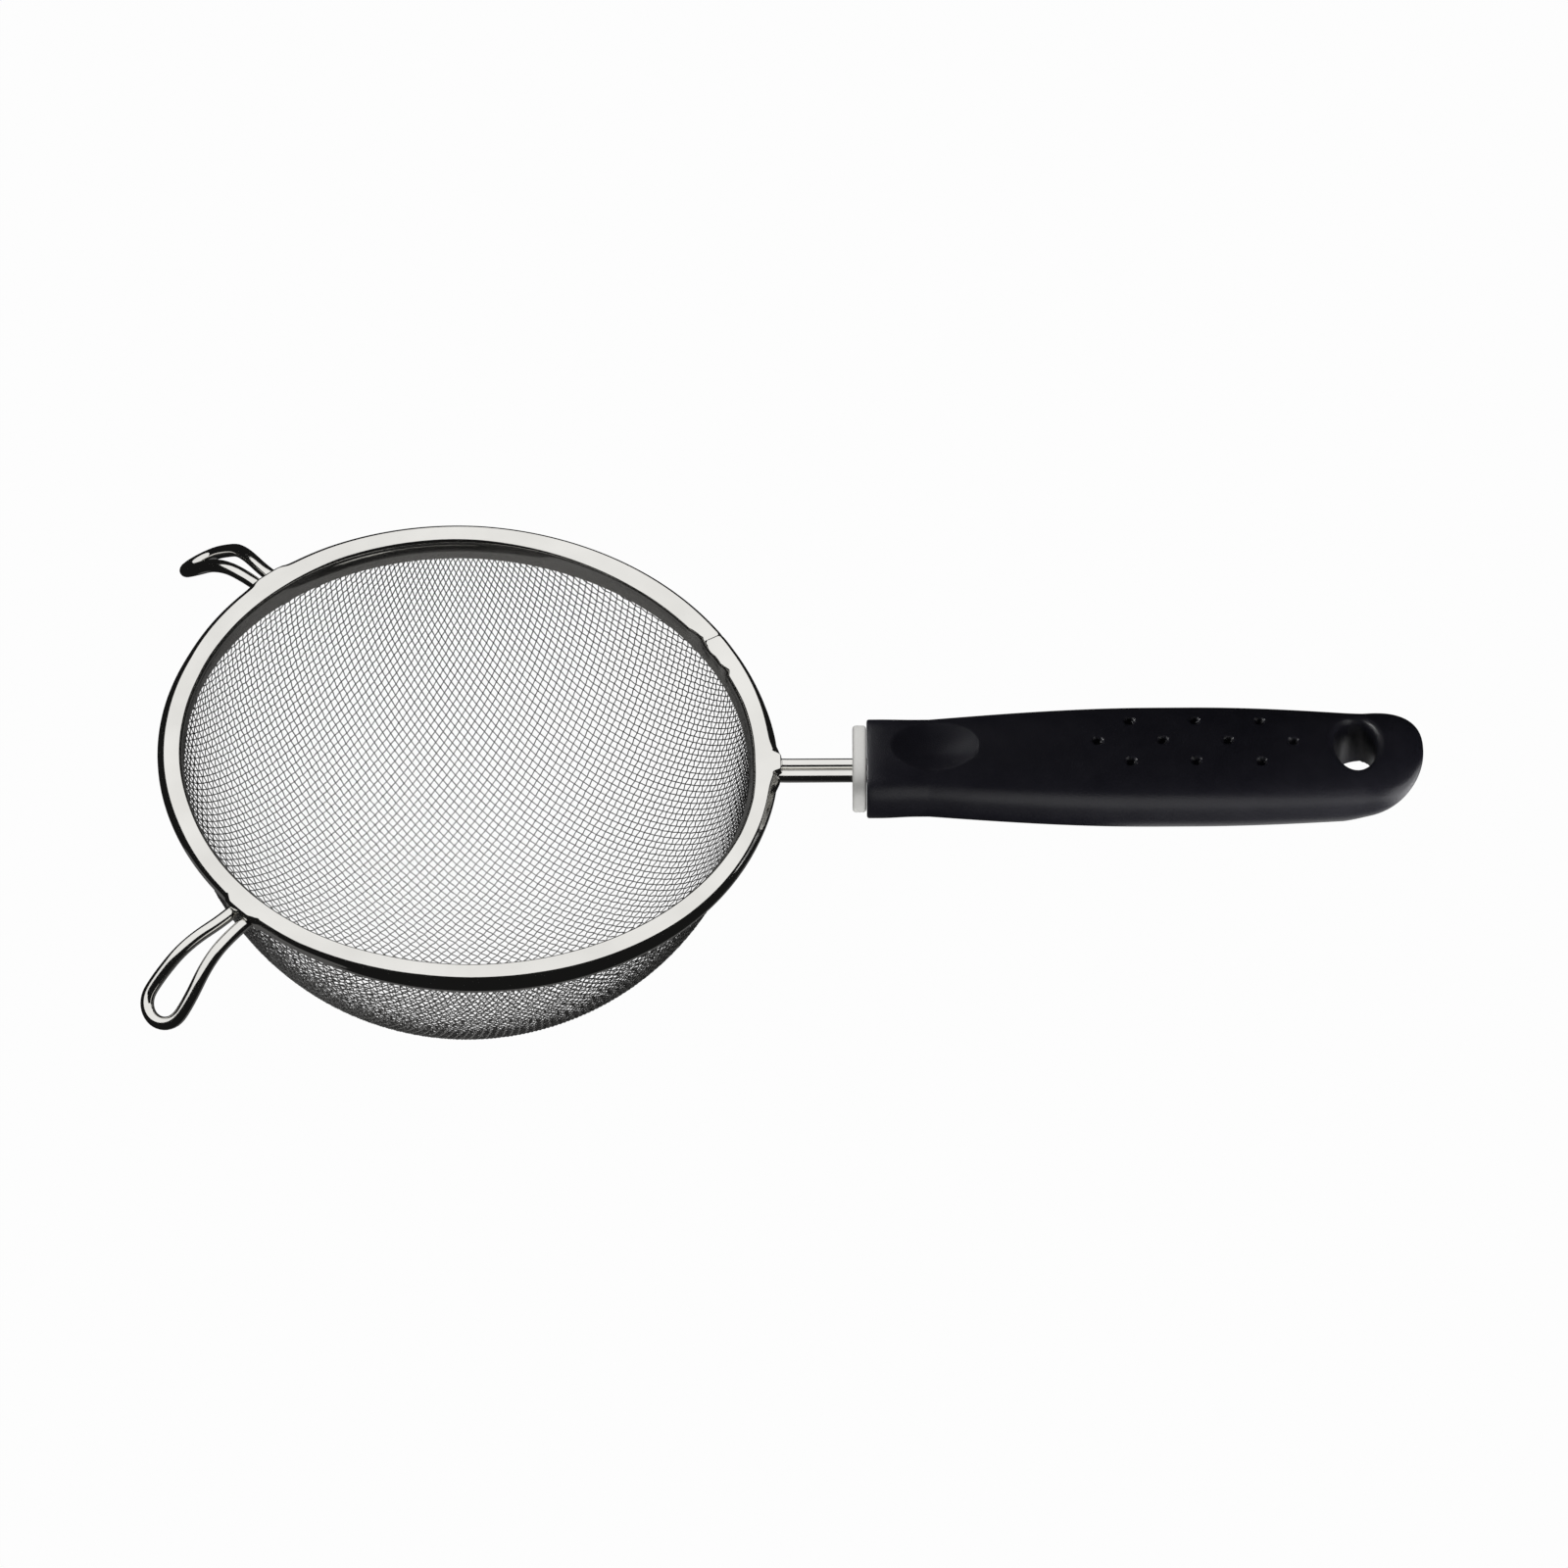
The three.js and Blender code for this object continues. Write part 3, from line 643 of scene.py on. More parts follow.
def rim_section(azimuth):
    """The band's outer face and then its inner face at an azimuth, as radius and height over the top."""
    low, bulge, flare, tongue, pinch = at_notches(azimuth)
    dent, sunk = at_seam(azimuth)
    drift_in = round_table(INNER_DRIFT, azimuth)
    drift_out = round_table(OUTER_DRIFT, azimuth)

    lip = np.array([RIM_RADIUS - RIM_LIP_ROUND, RIM_LIP_ROUND - RIM_HEIGHT])
    foot = lip + RIM_LIP_ROUND * facing(RIM_OUTER_LEAN)
    tight, wide = RIM_OUTER_ROUNDS
    bend = np.array([0.0, -tight]) + (tight - wide) * facing(RIM_BREAK)
    end = bend + wide * facing(RIM_OUTER_LEAN)
    shoulder_x = foot[0] - (end[1] - foot[1]) * math.tan(math.radians(RIM_OUTER_LEAN)) - end[0]
    inner_tight, inner_wide = RIM_INNER_ROUNDS
    inner_bend = np.array([0.0, -inner_tight]) + (inner_tight - inner_wide) * facing(180 - RIM_BREAK)
    start = inner_bend + inner_wide * facing(180 - RIM_INNER_LEAN)
    brow_x = RIM_INNER + (start[1] + RIM_HEIGHT) * math.tan(math.radians(RIM_INNER_LEAN)) - start[0]

    def skin(inset):
        """Inner wall, crown, outer wall and lip, at a depth under the sheet's outer face."""
        brow = arc(brow_x + inner_bend[0], inner_bend[1], inner_wide - inset,
                   180 - RIM_INNER_LEAN, 180 - RIM_BREAK, WIDE_STEPS)
        base = np.array([RIM_INNER + inset, -RIM_HEIGHT])
        crown = np.linspace(brow_x, shoulder_x, CROWN_STEPS + 1)[1:-1]
        points = np.concatenate([
            base + (brow[0] - base) * np.linspace(0, 1, WALL_STEPS + 1)[:-1, None],
            brow,
            arc(brow_x, -inner_tight, inner_tight - inset, 180 - RIM_BREAK, 90, TIGHT_STEPS)[1:],
            np.column_stack([crown, np.full(len(crown), -inset)]),
            arc(shoulder_x, -tight, tight - inset, 90, RIM_BREAK, TIGHT_STEPS),
            arc(shoulder_x + bend[0], bend[1], wide - inset, RIM_BREAK, RIM_OUTER_LEAN, WIDE_STEPS)[1:],
            arc(lip[0], lip[1], RIM_LIP_ROUND - inset, RIM_OUTER_LEAN, -90, LIP_STEPS),
        ])
        outside = points[:, 0] > shoulder_x
        points[outside, 1] = np.maximum(points[outside, 1], low + NOTCH_INSIDE * inset)
        return points

    def shaped(points):
        """A skin out of round, bulged and pinched at the notches, dented and sunk at the seam."""
        r, z = points[:, 0], points[:, 1]
        outer = past(r, *OUTER_EDGE)
        moved = r + (drift_in * (1 - outer) + drift_out * outer) * past(z, *UPPER_PART)
        cuff = flare * (1 - pinch) * past(-z, *FLARE_DEPTH)
        moved = moved + past(r, *OUTER_WALL) * (bulge + tongue + cuff)
        moved = moved - pinch * np.maximum(0.0, r - shoulder_x)
        moved = moved + dent * (before(r, *INNER_EDGE) * past(z, -RIM_HEIGHT, INNER_WALL_FADE))
        return np.column_stack([moved, z + sunk * past(z, *TOP_FACE)])

    return np.concatenate([shaped(skin(0.0)), shaped(skin(RIM_SHEET))[::-1]])


def rim_azimuths():
    places = [np.radians(np.arange(0, 360, RIM_SPACING))]
    for at, span, spacing in RIM_CLOSER:
        places.append(at + np.radians(np.arange(-span, span + 1e-9, spacing)))
    angles = np.sort(np.concatenate(places) % (2 * math.pi))
    keep = np.concatenate([[True], np.diff(angles) > math.radians(RIM_LEAST_SPACING)])
    return angles[keep]


def rim_band():
    rings = []
    for azimuth in rim_azimuths():
        section = rim_section(azimuth)
        r, z = section[:, 0], section[:, 1] + RIM_TOP
        rings.append(np.column_stack([r * math.cos(azimuth), r * math.sin(azimuth), z]))
    faces = loft_faces(len(rings), len(rings[0]), closed_rows=True)
    piece = build("rim", np.concatenate(rings), faces, STEEL, sharp=RIM_SHARP)
    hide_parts("rim_band")


# Frame wire: stem, hoop, ears and stem again, bent from one length

def turn_out(offset):
    """Where a leg leaves the hoop: the start of its straight, and the angle and points of its bend."""
    straight_x = math.sqrt((HOOP_RADIUS + TURN_RADIUS) ** 2 - (offset + TURN_RADIUS) ** 2)
    side = offset + BEND_RADIUS
    x = math.sqrt((HOOP_RADIUS + BEND_RADIUS) ** 2 - side ** 2)
    angle = math.atan2(side, x)
    t = np.linspace(math.pi + angle, 1.5 * math.pi, BEND_POINTS)
    level = np.full(BEND_POINTS, HOOP_HEIGHT)
    points = np.column_stack([x + BEND_RADIUS * np.cos(t), side + BEND_RADIUS * np.sin(t), level])
    return straight_x, angle, points


def hoop(start, end):
    steps = max(2, int(abs(end - start) / HOOP_SPACING))
    t = np.linspace(start, end, steps + 1)
    level = np.full(steps + 1, HOOP_HEIGHT)
    return np.column_stack([HOOP_RADIUS * np.cos(t), HOOP_RADIUS * np.sin(t), level])


def ear_place(length):
    """How far out and down an ear has come at a length along its arm, bend and hook."""
    arm = np.minimum(length, EAR_ARM)
    bent = np.clip(length - EAR_ARM, 0, EAR_BEND)
    hook = np.maximum(length - EAR_ARM - EAR_BEND, 0)
    slope = EAR_ARM_SLOPE + bent / EAR_CURVE
    out = arm * math.cos(EAR_ARM_SLOPE) + hook * math.cos(EAR_HOOK_SLOPE)
    out = out + EAR_CURVE * (np.sin(slope) - math.sin(EAR_ARM_SLOPE))
    down = arm * math.sin(EAR_ARM_SLOPE) + hook * math.sin(EAR_HOOK_SLOPE)
    down = down + EAR_CURVE * (math.cos(EAR_ARM_SLOPE) - np.cos(slope))
    return out, down


def ear_path():
    """The angle at which an ear leaves the hoop, and its path out and back, pointing along +X."""
    x, angle, turn = turn_out(EAR_ROOT)
    leg_length = EAR_LENGTH - EAR_TIP
    share = np.linspace(0, 1, EAR_LEG_POINTS)[1:]
    side = EAR_ROOT + (EAR_TIP - EAR_ROOT) * past(share, *EAR_SPREAD)
    out, down = ear_place(leg_length * share)
    leg = np.column_stack([x + out, side, HOOP_HEIGHT - down])
    t = np.linspace(0.5 * math.pi, -0.5 * math.pi, EAR_TIP_POINTS)[1:-1]
    out, down = ear_place(leg_length + EAR_TIP * np.cos(t))
    tip = np.column_stack([x + out, EAR_TIP * np.sin(t), HOOP_HEIGHT - down])
    half = np.concatenate([turn, leg])
    mirrored = half[::-1] * [1, -1, 1]
    return angle, np.concatenate([half, tip, mirrored])


def rotated(points, angle):
    c, s = math.cos(angle), math.sin(angle)
    return points @ np.array([[c, s, 0], [-s, c, 0], [0, 0, 1]])


def relaxed(path, rounds):
    """The path with its small corners eased."""
    for _ in range(rounds):
        path[1:-1] = 0.5 * path[1:-1] + 0.25 * (path[:-2] + path[2:])
    return path


def even(path, spacing):
    """The path with its points at an even spacing."""
    run = np.concatenate([[0], np.cumsum(np.linalg.norm(np.diff(path, axis=0), axis=1))])
    keep = np.concatenate([[True], np.diff(run) > 1e-6])
    at = np.linspace(0, run[-1], int(run[-1] / spacing) + 1)
    return np.column_stack([np.interp(at, run[keep], path[keep, k]) for k in range(3)])


def frame_path():
    x, stem_angle, turn = turn_out(STEM_OFFSET)
    run = np.linspace(0, TANG_END - x, STEM_POINTS)[1:]
    rise = HOOP_HEIGHT + run * math.tan(STEM_PITCH)
    straight = np.column_stack([x + run, np.full(len(run), STEM_OFFSET), rise])
    stem = np.concatenate([turn, straight])
    ear_angle, ear = ear_path()
    near = stem[::-1] * [1, -1, 1]
    parts = [near,
             hoop(-stem_angle, -EAR_AZIMUTH + ear_angle)[1:-1],
             rotated(ear, -EAR_AZIMUTH),
             hoop(-EAR_AZIMUTH - ear_angle, EAR_AZIMUTH + ear_angle - 2 * math.pi)[1:-1],
             rotated(ear, EAR_AZIMUTH),
             hoop(EAR_AZIMUTH - ear_angle, stem_angle)[1:-1],
             stem]
    path = even(np.concatenate(parts), FINE_SPACING)
    return even(relaxed(path, EASING_ROUNDS), PATH_SPACING)


def tube(path, radius, sides):
    """A round tube along a path, without twist."""
    tangent = unit(np.gradient(path, axis=0))
    up = np.zeros_like(path)
    current = np.array([0.0, 0.0, 1.0])
    for k, t in enumerate(tangent):
        current = current - t * (current @ t)
        current = current / np.linalg.norm(current)
        up[k] = current
    ring = ring_directions(sides, up, np.cross(tangent, up))
    verts = (path[:, None, :] + radius * ring).reshape(-1, 3)
    return verts, [face[::-1] for face in capped_faces(len(path), sides)]


def frame_wire():
    verts, faces = tube(frame_path(), WIRE_RADIUS, WIRE_SIDES)
    piece = build("frame_wire", verts, faces, WIRE_STEEL, sharp=WIRE_SHARP)
    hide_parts("frame_wire_front", "frame_wire_near", "frame_wire_far", "ear_near", "ear_far")


# Handle and collar, in the handle's own frame: +X along it from its front, +Z up

def to_world(points):
    x, _, _ = turn_out(STEM_OFFSET)
    origin = np.array([GRIP_FRONT, 0, HOOP_HEIGHT + (GRIP_FRONT - x) * math.tan(STEM_PITCH)])
    c, s = math.cos(STEM_PITCH), math.sin(STEM_PITCH)
    p = np.asarray(points, float)
    return np.column_stack([c * p[:, 0] - s * p[:, 2], p[:, 1], s * p[:, 0] + c * p[:, 2]]) + origin


def into_tail(along, run):
    return np.clip(1 - (GRIP_LENGTH - along) / run, 0, 1)


def tail_share(along, run, power):
    return max(0.0, 1 - into_tail(along, run) ** power) ** (1 / power)


def grip_halves(along):
    """The height of the middle of the handle's section, its half width, and its reach up and down."""
    rising = np.clip(GRIP_SWELL_RATE * (along - GRIP_WAIST) / (GRIP_SWELL_AT - GRIP_WAIST), 0, 1)
    falling = np.clip((along - GRIP_SWELL_AT) / (GRIP_TAIL_AT - GRIP_SWELL_AT), 0, 1)
    rise, fall = math.sin(rising * math.pi / 2), 1 - math.cos(falling * math.pi / 2)

    def mix(front, swell, tail):
        return front + (swell - front) * rise + (tail - swell) * fall

    lift = GRIP_TIP_LIFT * into_tail(along, GRIP_TAIL_SWEEP) ** 2
    lip = GRIP_LIP * (1 - float(past(along, *GRIP_LIP_FADE)))
    side = mix(*GRIP_SIDES) * tail_share(along, GRIP_TAIL_PLAN, GRIP_PLAN_POWER) + GRIP_LIP_SIDE * lip
    up = (mix(*GRIP_UPS) - lift) * tail_share(along, GRIP_TAIL_ROUND, GRIP_TOP_POWER)
    down = (mix(*GRIP_DOWNS) + lift) * tail_share(along, GRIP_TAIL_SWEEP, GRIP_UNDER_POWER) + lip
    return GRIP_RISE + lift, side, up, down


def oval(angle, side, up, down):
    c, s = np.cos(angle), np.sin(angle)
    y = np.sign(c) * np.abs(c) ** (2 / GRIP_SECTION_POWER) * side
    z = np.sign(s) * np.abs(s) ** (2 / GRIP_SECTION_POWER)
    return y, np.where(z > 0, z * up, z * down)


def oval_angles(count):
    """Angles round the section whose points are evenly spaced on its top, sides and underside."""
    t = np.linspace(0, 2 * math.pi, OVAL_TRACE)
    y, z = oval(t, *OVAL_TYPICAL)
    top, top_weight = OVAL_TOP
    under, under_weight = OVAL_UNDER
    weight = np.where(z[:-1] > top, top_weight, np.where(z[:-1] < under, under_weight, OVAL_BETWEEN))
    run = np.concatenate([[0], np.cumsum(np.hypot(np.diff(y), np.diff(z)) * weight)])
    return np.interp(np.linspace(0, run[-1], count, endpoint=False), run, t)


def slot_outline(angle, radius):
    """The slot for the two stem wires, seen along the handle, at given directions from its middle."""
    d = np.column_stack([np.cos(angle), np.sin(angle)])
    flat = radius / np.maximum(np.abs(d[:, 1]), 1e-9)
    b = STEM_OFFSET * np.abs(d[:, 0])
    round_end = b + np.sqrt(np.maximum(b ** 2 - STEM_OFFSET ** 2 + radius ** 2, 0))
    reach = np.where(flat * np.abs(d[:, 0]) <= STEM_OFFSET, flat, round_end)
    return d * reach[:, None]


def grip_rings(angles):
    """Rings from the end of the tang's slot to the tail, each as points in the handle's frame."""
    cols = len(angles)
    rings = []

    def add(x, points):
        rings.append(np.column_stack([np.full(cols, x), points]))

    _, side, up, down = grip_halves(0.0)
    y, z = oval(angles, side, up, down)
    slot = slot_outline(np.arctan2(z, y), WIRE_RADIUS + GRIP_SLOT_ROOM)
    for x, share in GRIP_SLOT_RINGS:
        add(x, slot * share)
    for share, slot_share in GRIP_FACE_RINGS:
        add(0.0, np.column_stack([y * share, z * share + GRIP_RISE]) + slot * slot_share)
    for degrees in np.linspace(0, 90, GRIP_EDGE_POINTS):
        t = math.radians(degrees)
        inset = GRIP_FRONT_EDGE * (1 - math.sin(t))
        y, z = oval(angles, side - inset, up - inset, down - inset)
        add(GRIP_FRONT_EDGE * (1 - math.cos(t)), np.column_stack([y, z + GRIP_RISE]))
    turning = np.radians(np.linspace(1, 90, GRIP_TAIL_RINGS))
    tail = GRIP_LENGTH - GRIP_TAIL_ROUND * (1 - np.sin(turning))
    for x in np.concatenate([*(np.arange(*stretch) for stretch in GRIP_RINGS), tail]):
        middle, side, up, down = grip_halves(float(x))
        y, z = oval(angles, side, up, down)
        rings.append(pressed(np.column_stack([np.full(cols, x), y, z + middle]), middle))
    return rings


def dimple_places():
    """Places along and across the handle: a row along its middle and a shorter one to each side."""
    places = []
    for row in (-1, 0, 1):
        count = DIMPLES_IN_MIDDLE_ROW - abs(row)
        for i in range(count):
            along = DIMPLE_MIDDLE[0] + (i - (count - 1) / 2) * DIMPLE_PITCHES[0]
            places.append((along, DIMPLE_MIDDLE[1] + row * DIMPLE_PITCHES[1]))
    return places


DIMPLES = dimple_places()


def hollow(far, depth, power):
    """A hollow's depth at a share of the way from its middle to its edge."""
    return depth * np.clip(1 - far ** 2, 0, 1) ** power


def pressed(ring, middle):
    """A ring with the thumb hollow, the dimples and the mouths of the hanging hole pressed into it."""
    x, y, z = ring[:, 0], ring[:, 1], ring[:, 2].copy()
    top = z > middle
    thumb = np.hypot((x - THUMB_AT) / THUMB_HALVES[0], y / THUMB_HALVES[1])
    z -= np.where(top, hollow(thumb, THUMB_DEPTH, THUMB_POWER), 0)
    for at, side in DIMPLES:
        far = np.hypot(x - at, y - side) / DIMPLE_RADIUS
        z -= np.where(top, hollow(far, DIMPLE_DEPTH, DIMPLE_POWER), 0)
    z -= np.where(top, flared(x, y, HOLE_TOP, HOLE_FLARE), -flared(x, y, HOLE_UNDER, HOLE_UNDER_FLARE))
    return np.column_stack([x, y, z])


def flared(x, y, half, flare):
    """How far a rounded mouth of the hanging hole turns in at each point."""
    y = y - HOLE_ACROSS
    scaled = np.hypot((x - HOLE_AT) / half[0], y / half[1])
    far = (scaled - 1) * np.hypot(x - HOLE_AT, y) / np.maximum(scaled, 1e-6)
    near = np.clip((flare - far) / flare, 0, 1)
    return flare * (1 - np.sqrt(1 - near ** 2))


def oval_bore():
    """The tool that bores the hanging hole, an oval that widens from the underside to the top."""
    t = 2 * math.pi * np.arange(BORE_SIDES) / BORE_SIDES
    rings = []
    for z in np.linspace(-BORE_HALF_LENGTH, BORE_HALF_LENGTH, BORE_RINGS):
        share = 0.5 + 0.5 * np.clip(z / HOLE_DRAFT_HALF_HEIGHT, -1, 1)
        half = BORE_ROOM + np.array(HOLE_UNDER) * (1 - share) + np.array(HOLE_TOP) * share
        x, y = HOLE_AT + half[0] * np.cos(t), HOLE_ACROSS + half[1] * np.sin(t)
        rings.append(np.column_stack([x, y, np.full(BORE_SIDES, z)]))
    verts = to_world(np.concatenate(rings)) * MM
    mesh = bpy.data.meshes.new("bore_tool")
    mesh.from_pydata(verts.tolist(), [], capped_faces(BORE_RINGS, BORE_SIDES))
    tool = bpy.data.objects.new("bore_tool", mesh)
    bpy.context.scene.collection.objects.link(tool)
    return tool


def weld(piece, distance):
    """Joins points that lie together, and turns all faces outwards."""
    shape = bmesh.new()
    shape.from_mesh(piece.data)
    bmesh.ops.remove_doubles(shape, verts=shape.verts, dist=distance)
    bmesh.ops.recalc_face_normals(shape, faces=shape.faces)
    shape.to_mesh(piece.data)
    shape.free()


def handle_grip():
    angles = oval_angles(GRIP_COLUMNS)
    rings = grip_rings(angles)
    verts = to_world(np.concatenate(rings))
    faces = loft_faces(len(rings), len(angles))
    piece = build("handle", verts, faces, BLACK)
    weld(piece, GRIP_WELD)
    tool = oval_bore()
    cut = piece.modifiers.new("bore", "BOOLEAN")
    cut.object = tool
    cut.operation = "DIFFERENCE"
    cut.solver = "EXACT"
    bpy.context.view_layer.update()
    done = bpy.data.meshes.new_from_object(piece.evaluated_get(bpy.context.evaluated_depsgraph_get()))
    piece.modifiers.clear()
    piece.data = done
    bpy.data.objects.remove(tool)
    done.shade_smooth()
    done.set_sharp_from_angle(angle=math.radians(GRIP_SHARP))
    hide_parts("handle_grip")


def collar():
    angles = oval_angles(COLLAR_COLUMNS)
    cols = len(angles)
    _, side, up, down = grip_halves(0.0)
    y, z = oval(angles, side, up, down)
    slot = slot_outline(np.arctan2(z, y), WIRE_RADIUS + COLLAR_SLOT_ROOM)
    front_depth, back_depth = COLLAR_SLOT_DEPTHS
    rings = []

    def outline(inset):
        y, z = oval(angles, *(half - COLLAR_STEP - inset for half in (side, up, down)))
        return np.column_stack([y, z + GRIP_RISE])

    def add(x, points):
        rings.append(np.column_stack([np.full(cols, x), points]))

    def add_face(x, shares):
        for share in shares:
            add(x, slot * (1 - share) + outline(COLLAR_ROUND) * share)

    def add_round(x, way, start, end):
        for degrees in np.linspace(start, end, COLLAR_ROUND_POINTS):
            t = math.radians(degrees)
            add(x + way * COLLAR_ROUND * (1 - math.cos(t)), outline(COLLAR_ROUND * (1 - math.sin(t))))

    add(COLLAR_BACK - back_depth, slot)
    add(COLLAR_FRONT + front_depth, slot)
    add(COLLAR_FRONT, slot * COLLAR_SLOT_EDGE)
    add_face(COLLAR_FRONT, COLLAR_FACE_SHARES)
    add_round(COLLAR_FRONT, 1, 0, 90)
    add_round(COLLAR_BACK, -1, 90, 0)
    add_face(COLLAR_BACK, COLLAR_FACE_SHARES[::-1])
    add(COLLAR_BACK, slot * COLLAR_SLOT_EDGE)
    verts = to_world(np.concatenate(rings))
    faces = loft_faces(len(rings), cols, closed_rows=True)
    piece = build("collar_ring", verts, faces, COLLAR_SATIN, sharp=COLLAR_SHARP)
    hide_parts("collar")


woven_cloth()
rim_band()
frame_wire()
handle_grip()
collar()


# Stage

WHITE = (1, 1, 1, 1)
FLOOR_RADIUS = 6
FLOOR_SIDES = 64
FLOOR_COLOUR = (0.82, 0.82, 0.82, 1)
FLOOR_ROUGHNESS = 0.9
FLOOR_WHITE = 0.98
SKY_LIGHT = 0.05
SKY_WHITE = 1.0

# Dark dome for the polished metal to reflect. The edge of its opening is given by azimuth from +X towards +Y
# and height above the bowl's rim, in degrees. Its floor has a hole under the bowl, which a grey card fills.
OPENING_EDGE = (
    (20, 20), (43, 22), (75, 21), (90, 22), (106, 30), (125, 30), (140, 22), (155, 13), (178, 10),
    (192, 11), (209, 15), (225, 22), (240, 28), (252, 36), (266, 48), (286, 54), (328, 42), (343, 28),
    (354, 22))
DOME_RADIUS = 0.25
DOME_COLUMNS = 180
DOME_ROWS = 7
DOME_HOLE = 0.1
CARD_LEVEL = 0.0004
BLACK_GLOW = 0.01
GREY_GLOW = 0.1

# Sloped card over the handle: x and z at its two ends, and its span in y
HANDLE_CARD_ENDS = ((0.0895, 0.082), (0.235, 0.105))
HANDLE_CARD_SPAN = (-0.03, 0.2)

# Camera, fitted to the photo. Its distance is in mm and its scale is in pixels to a mm at the target.
CAMERA_AZIMUTH = math.radians(-3.938)
CAMERA_ELEVATION = math.radians(47.656)
CAMERA_ROLL = math.radians(-5.6525)
CAMERA_DISTANCE = 1500
CAMERA_TARGET = (0.07123, -0.00699, RIM_TOP * MM)
CAMERA_SCALE = 4.54459
CAMERA_SENSOR = 36.0
CAMERA_CLIP = (0.01, 50)
PHOTO_WIDTH = 1600

CLOTH_PIECES = ("warp_wires_a", "warp_wires_b", "weft_wires_a", "weft_wires_b")


def seen_by_eye(nodes, links, share):
    """A share for rays by which a camera, mirror or glass looks at the surface, and 0 for all others."""
    path = nodes.new("ShaderNodeLightPath")
    first = nodes.new("ShaderNodeMath")
    first.operation = "MAXIMUM"
    links.new(path.outputs["Is Camera Ray"], first.inputs[0])
    links.new(path.outputs["Is Glossy Ray"], first.inputs[1])
    second = nodes.new("ShaderNodeMath")
    second.operation = "MAXIMUM"
    links.new(first.outputs[0], second.inputs[0])
    links.new(path.outputs["Is Transmission Ray"], second.inputs[1])
    third = nodes.new("ShaderNodeMath")
    third.operation = "MULTIPLY"
    links.new(second.outputs[0], third.inputs[0])
    third.inputs[1].default_value = share
    return third.outputs[0]


def shown_white(nodes, links, plain, white_kind, share, output):
    """Sends a plain shader to the output, with a share of white mixed in where it is seen."""
    white = nodes.new(white_kind)
    white.inputs["Color"].default_value = WHITE
    white.inputs["Strength"].default_value = 1.0
    mix = nodes.new("ShaderNodeMixShader")
    links.new(seen_by_eye(nodes, links, share), mix.inputs[0])
    links.new(plain.outputs[0], mix.inputs[1])
    links.new(white.outputs[0], mix.inputs[2])
    links.new(mix.outputs[0], nodes[output].inputs["Surface"])


def stage_mesh(name, verts, faces, material):
    mesh = bpy.data.meshes.new(name)
    mesh.from_pydata([tuple(v) for v in verts], [], faces)
    mesh.materials.append(material)
    thing = bpy.data.objects.new(name, mesh)
    bpy.context.scene.collection.objects.link(thing)
    return thing


def floor():
    material, nodes, links, shader = node_material("pale_floor")
    shader.inputs["Base Color"].default_value = FLOOR_COLOUR
    shader.inputs["Roughness"].default_value = FLOOR_ROUGHNESS
    shader.inputs["Specular IOR Level"].default_value = 0.0
    shown_white(nodes, links, shader, "ShaderNodeEmission", FLOOR_WHITE, "Material Output")
    t = np.linspace(0, 2 * math.pi, FLOOR_SIDES, endpoint=False)
    verts = np.column_stack([FLOOR_RADIUS * np.cos(t), FLOOR_RADIUS * np.sin(t), np.zeros(FLOOR_SIDES)])
    stage_mesh("floor", verts, [list(range(FLOOR_SIDES))], material)


def sky():
    world = bpy.data.worlds.new("studio")
    bpy.context.scene.world = world
    world.use_nodes = True
    nodes, links = world.node_tree.nodes, world.node_tree.links
    soft = nodes["Background"]
    soft.inputs["Color"].default_value = WHITE
    soft.inputs["Strength"].default_value = SKY_LIGHT
    shown_white(nodes, links, soft, "ShaderNodeBackground", SKY_WHITE, "World Output")


def card_material(name, strength):
    material, nodes, links, shader = node_material(name)
    nodes.remove(shader)
    glow = nodes.new("ShaderNodeEmission")
    glow.inputs["Color"].default_value = WHITE
    glow.inputs["Strength"].default_value = strength
    links.new(glow.outputs[0], nodes["Material Output"].inputs["Surface"])
    return material


def mirror_card(name, verts, faces, material):
    """A studio card that only shows in reflections."""
    card = stage_mesh(name, verts, faces, material)
    card.visible_camera = False
    card.visible_diffuse = False
    card.visible_transmission = False
    card.visible_volume_scatter = False
    card.visible_shadow = False


def dark_cards():
    """A dark dome round the object, open above, a grey card under the bowl and a dark one over the handle."""
    verts, faces = [], []
    azimuths = [2 * math.pi * k / DOME_COLUMNS for k in range(DOME_COLUMNS)]
    for row in range(DOME_ROWS):
        for azimuth in azimuths:
            height = math.radians(round_table(OPENING_EDGE, azimuth)) * row / (DOME_ROWS - 1)
            flat = DOME_RADIUS * math.cos(height)
            level = CARD_LEVEL if row == 0 else RIM_TOP * MM + DOME_RADIUS * math.sin(height)
            verts.append((flat * math.cos(azimuth), flat * math.sin(azimuth), level))
    hole = [(DOME_HOLE * math.cos(at), DOME_HOLE * math.sin(at), CARD_LEVEL) for at in azimuths]
    hole_start = len(verts)
    for k in range(DOME_COLUMNS):
        after = (k + 1) % DOME_COLUMNS
        for row in range(DOME_ROWS - 1):
            a, b = row * DOME_COLUMNS + k, row * DOME_COLUMNS + after
            faces.append((a, b, b + DOME_COLUMNS, a + DOME_COLUMNS))
        faces.append((k, after, hole_start + after, hole_start + k))
    black = card_material("black_card", BLACK_GLOW)
    mirror_card("black_card", verts + hole, faces, black)
    mirror_card("grey_card", hole, [list(range(DOME_COLUMNS))], card_material("grey_card", GREY_GLOW))
    (x0, z0), (x1, z1) = HANDLE_CARD_ENDS
    y0, y1 = HANDLE_CARD_SPAN
    shade = [(x0, y0, z0), (x1, y0, z1), (x1, y1, z1), (x0, y1, z0)]
    mirror_card("handle_card", shade, [(0, 1, 2, 3)], black)


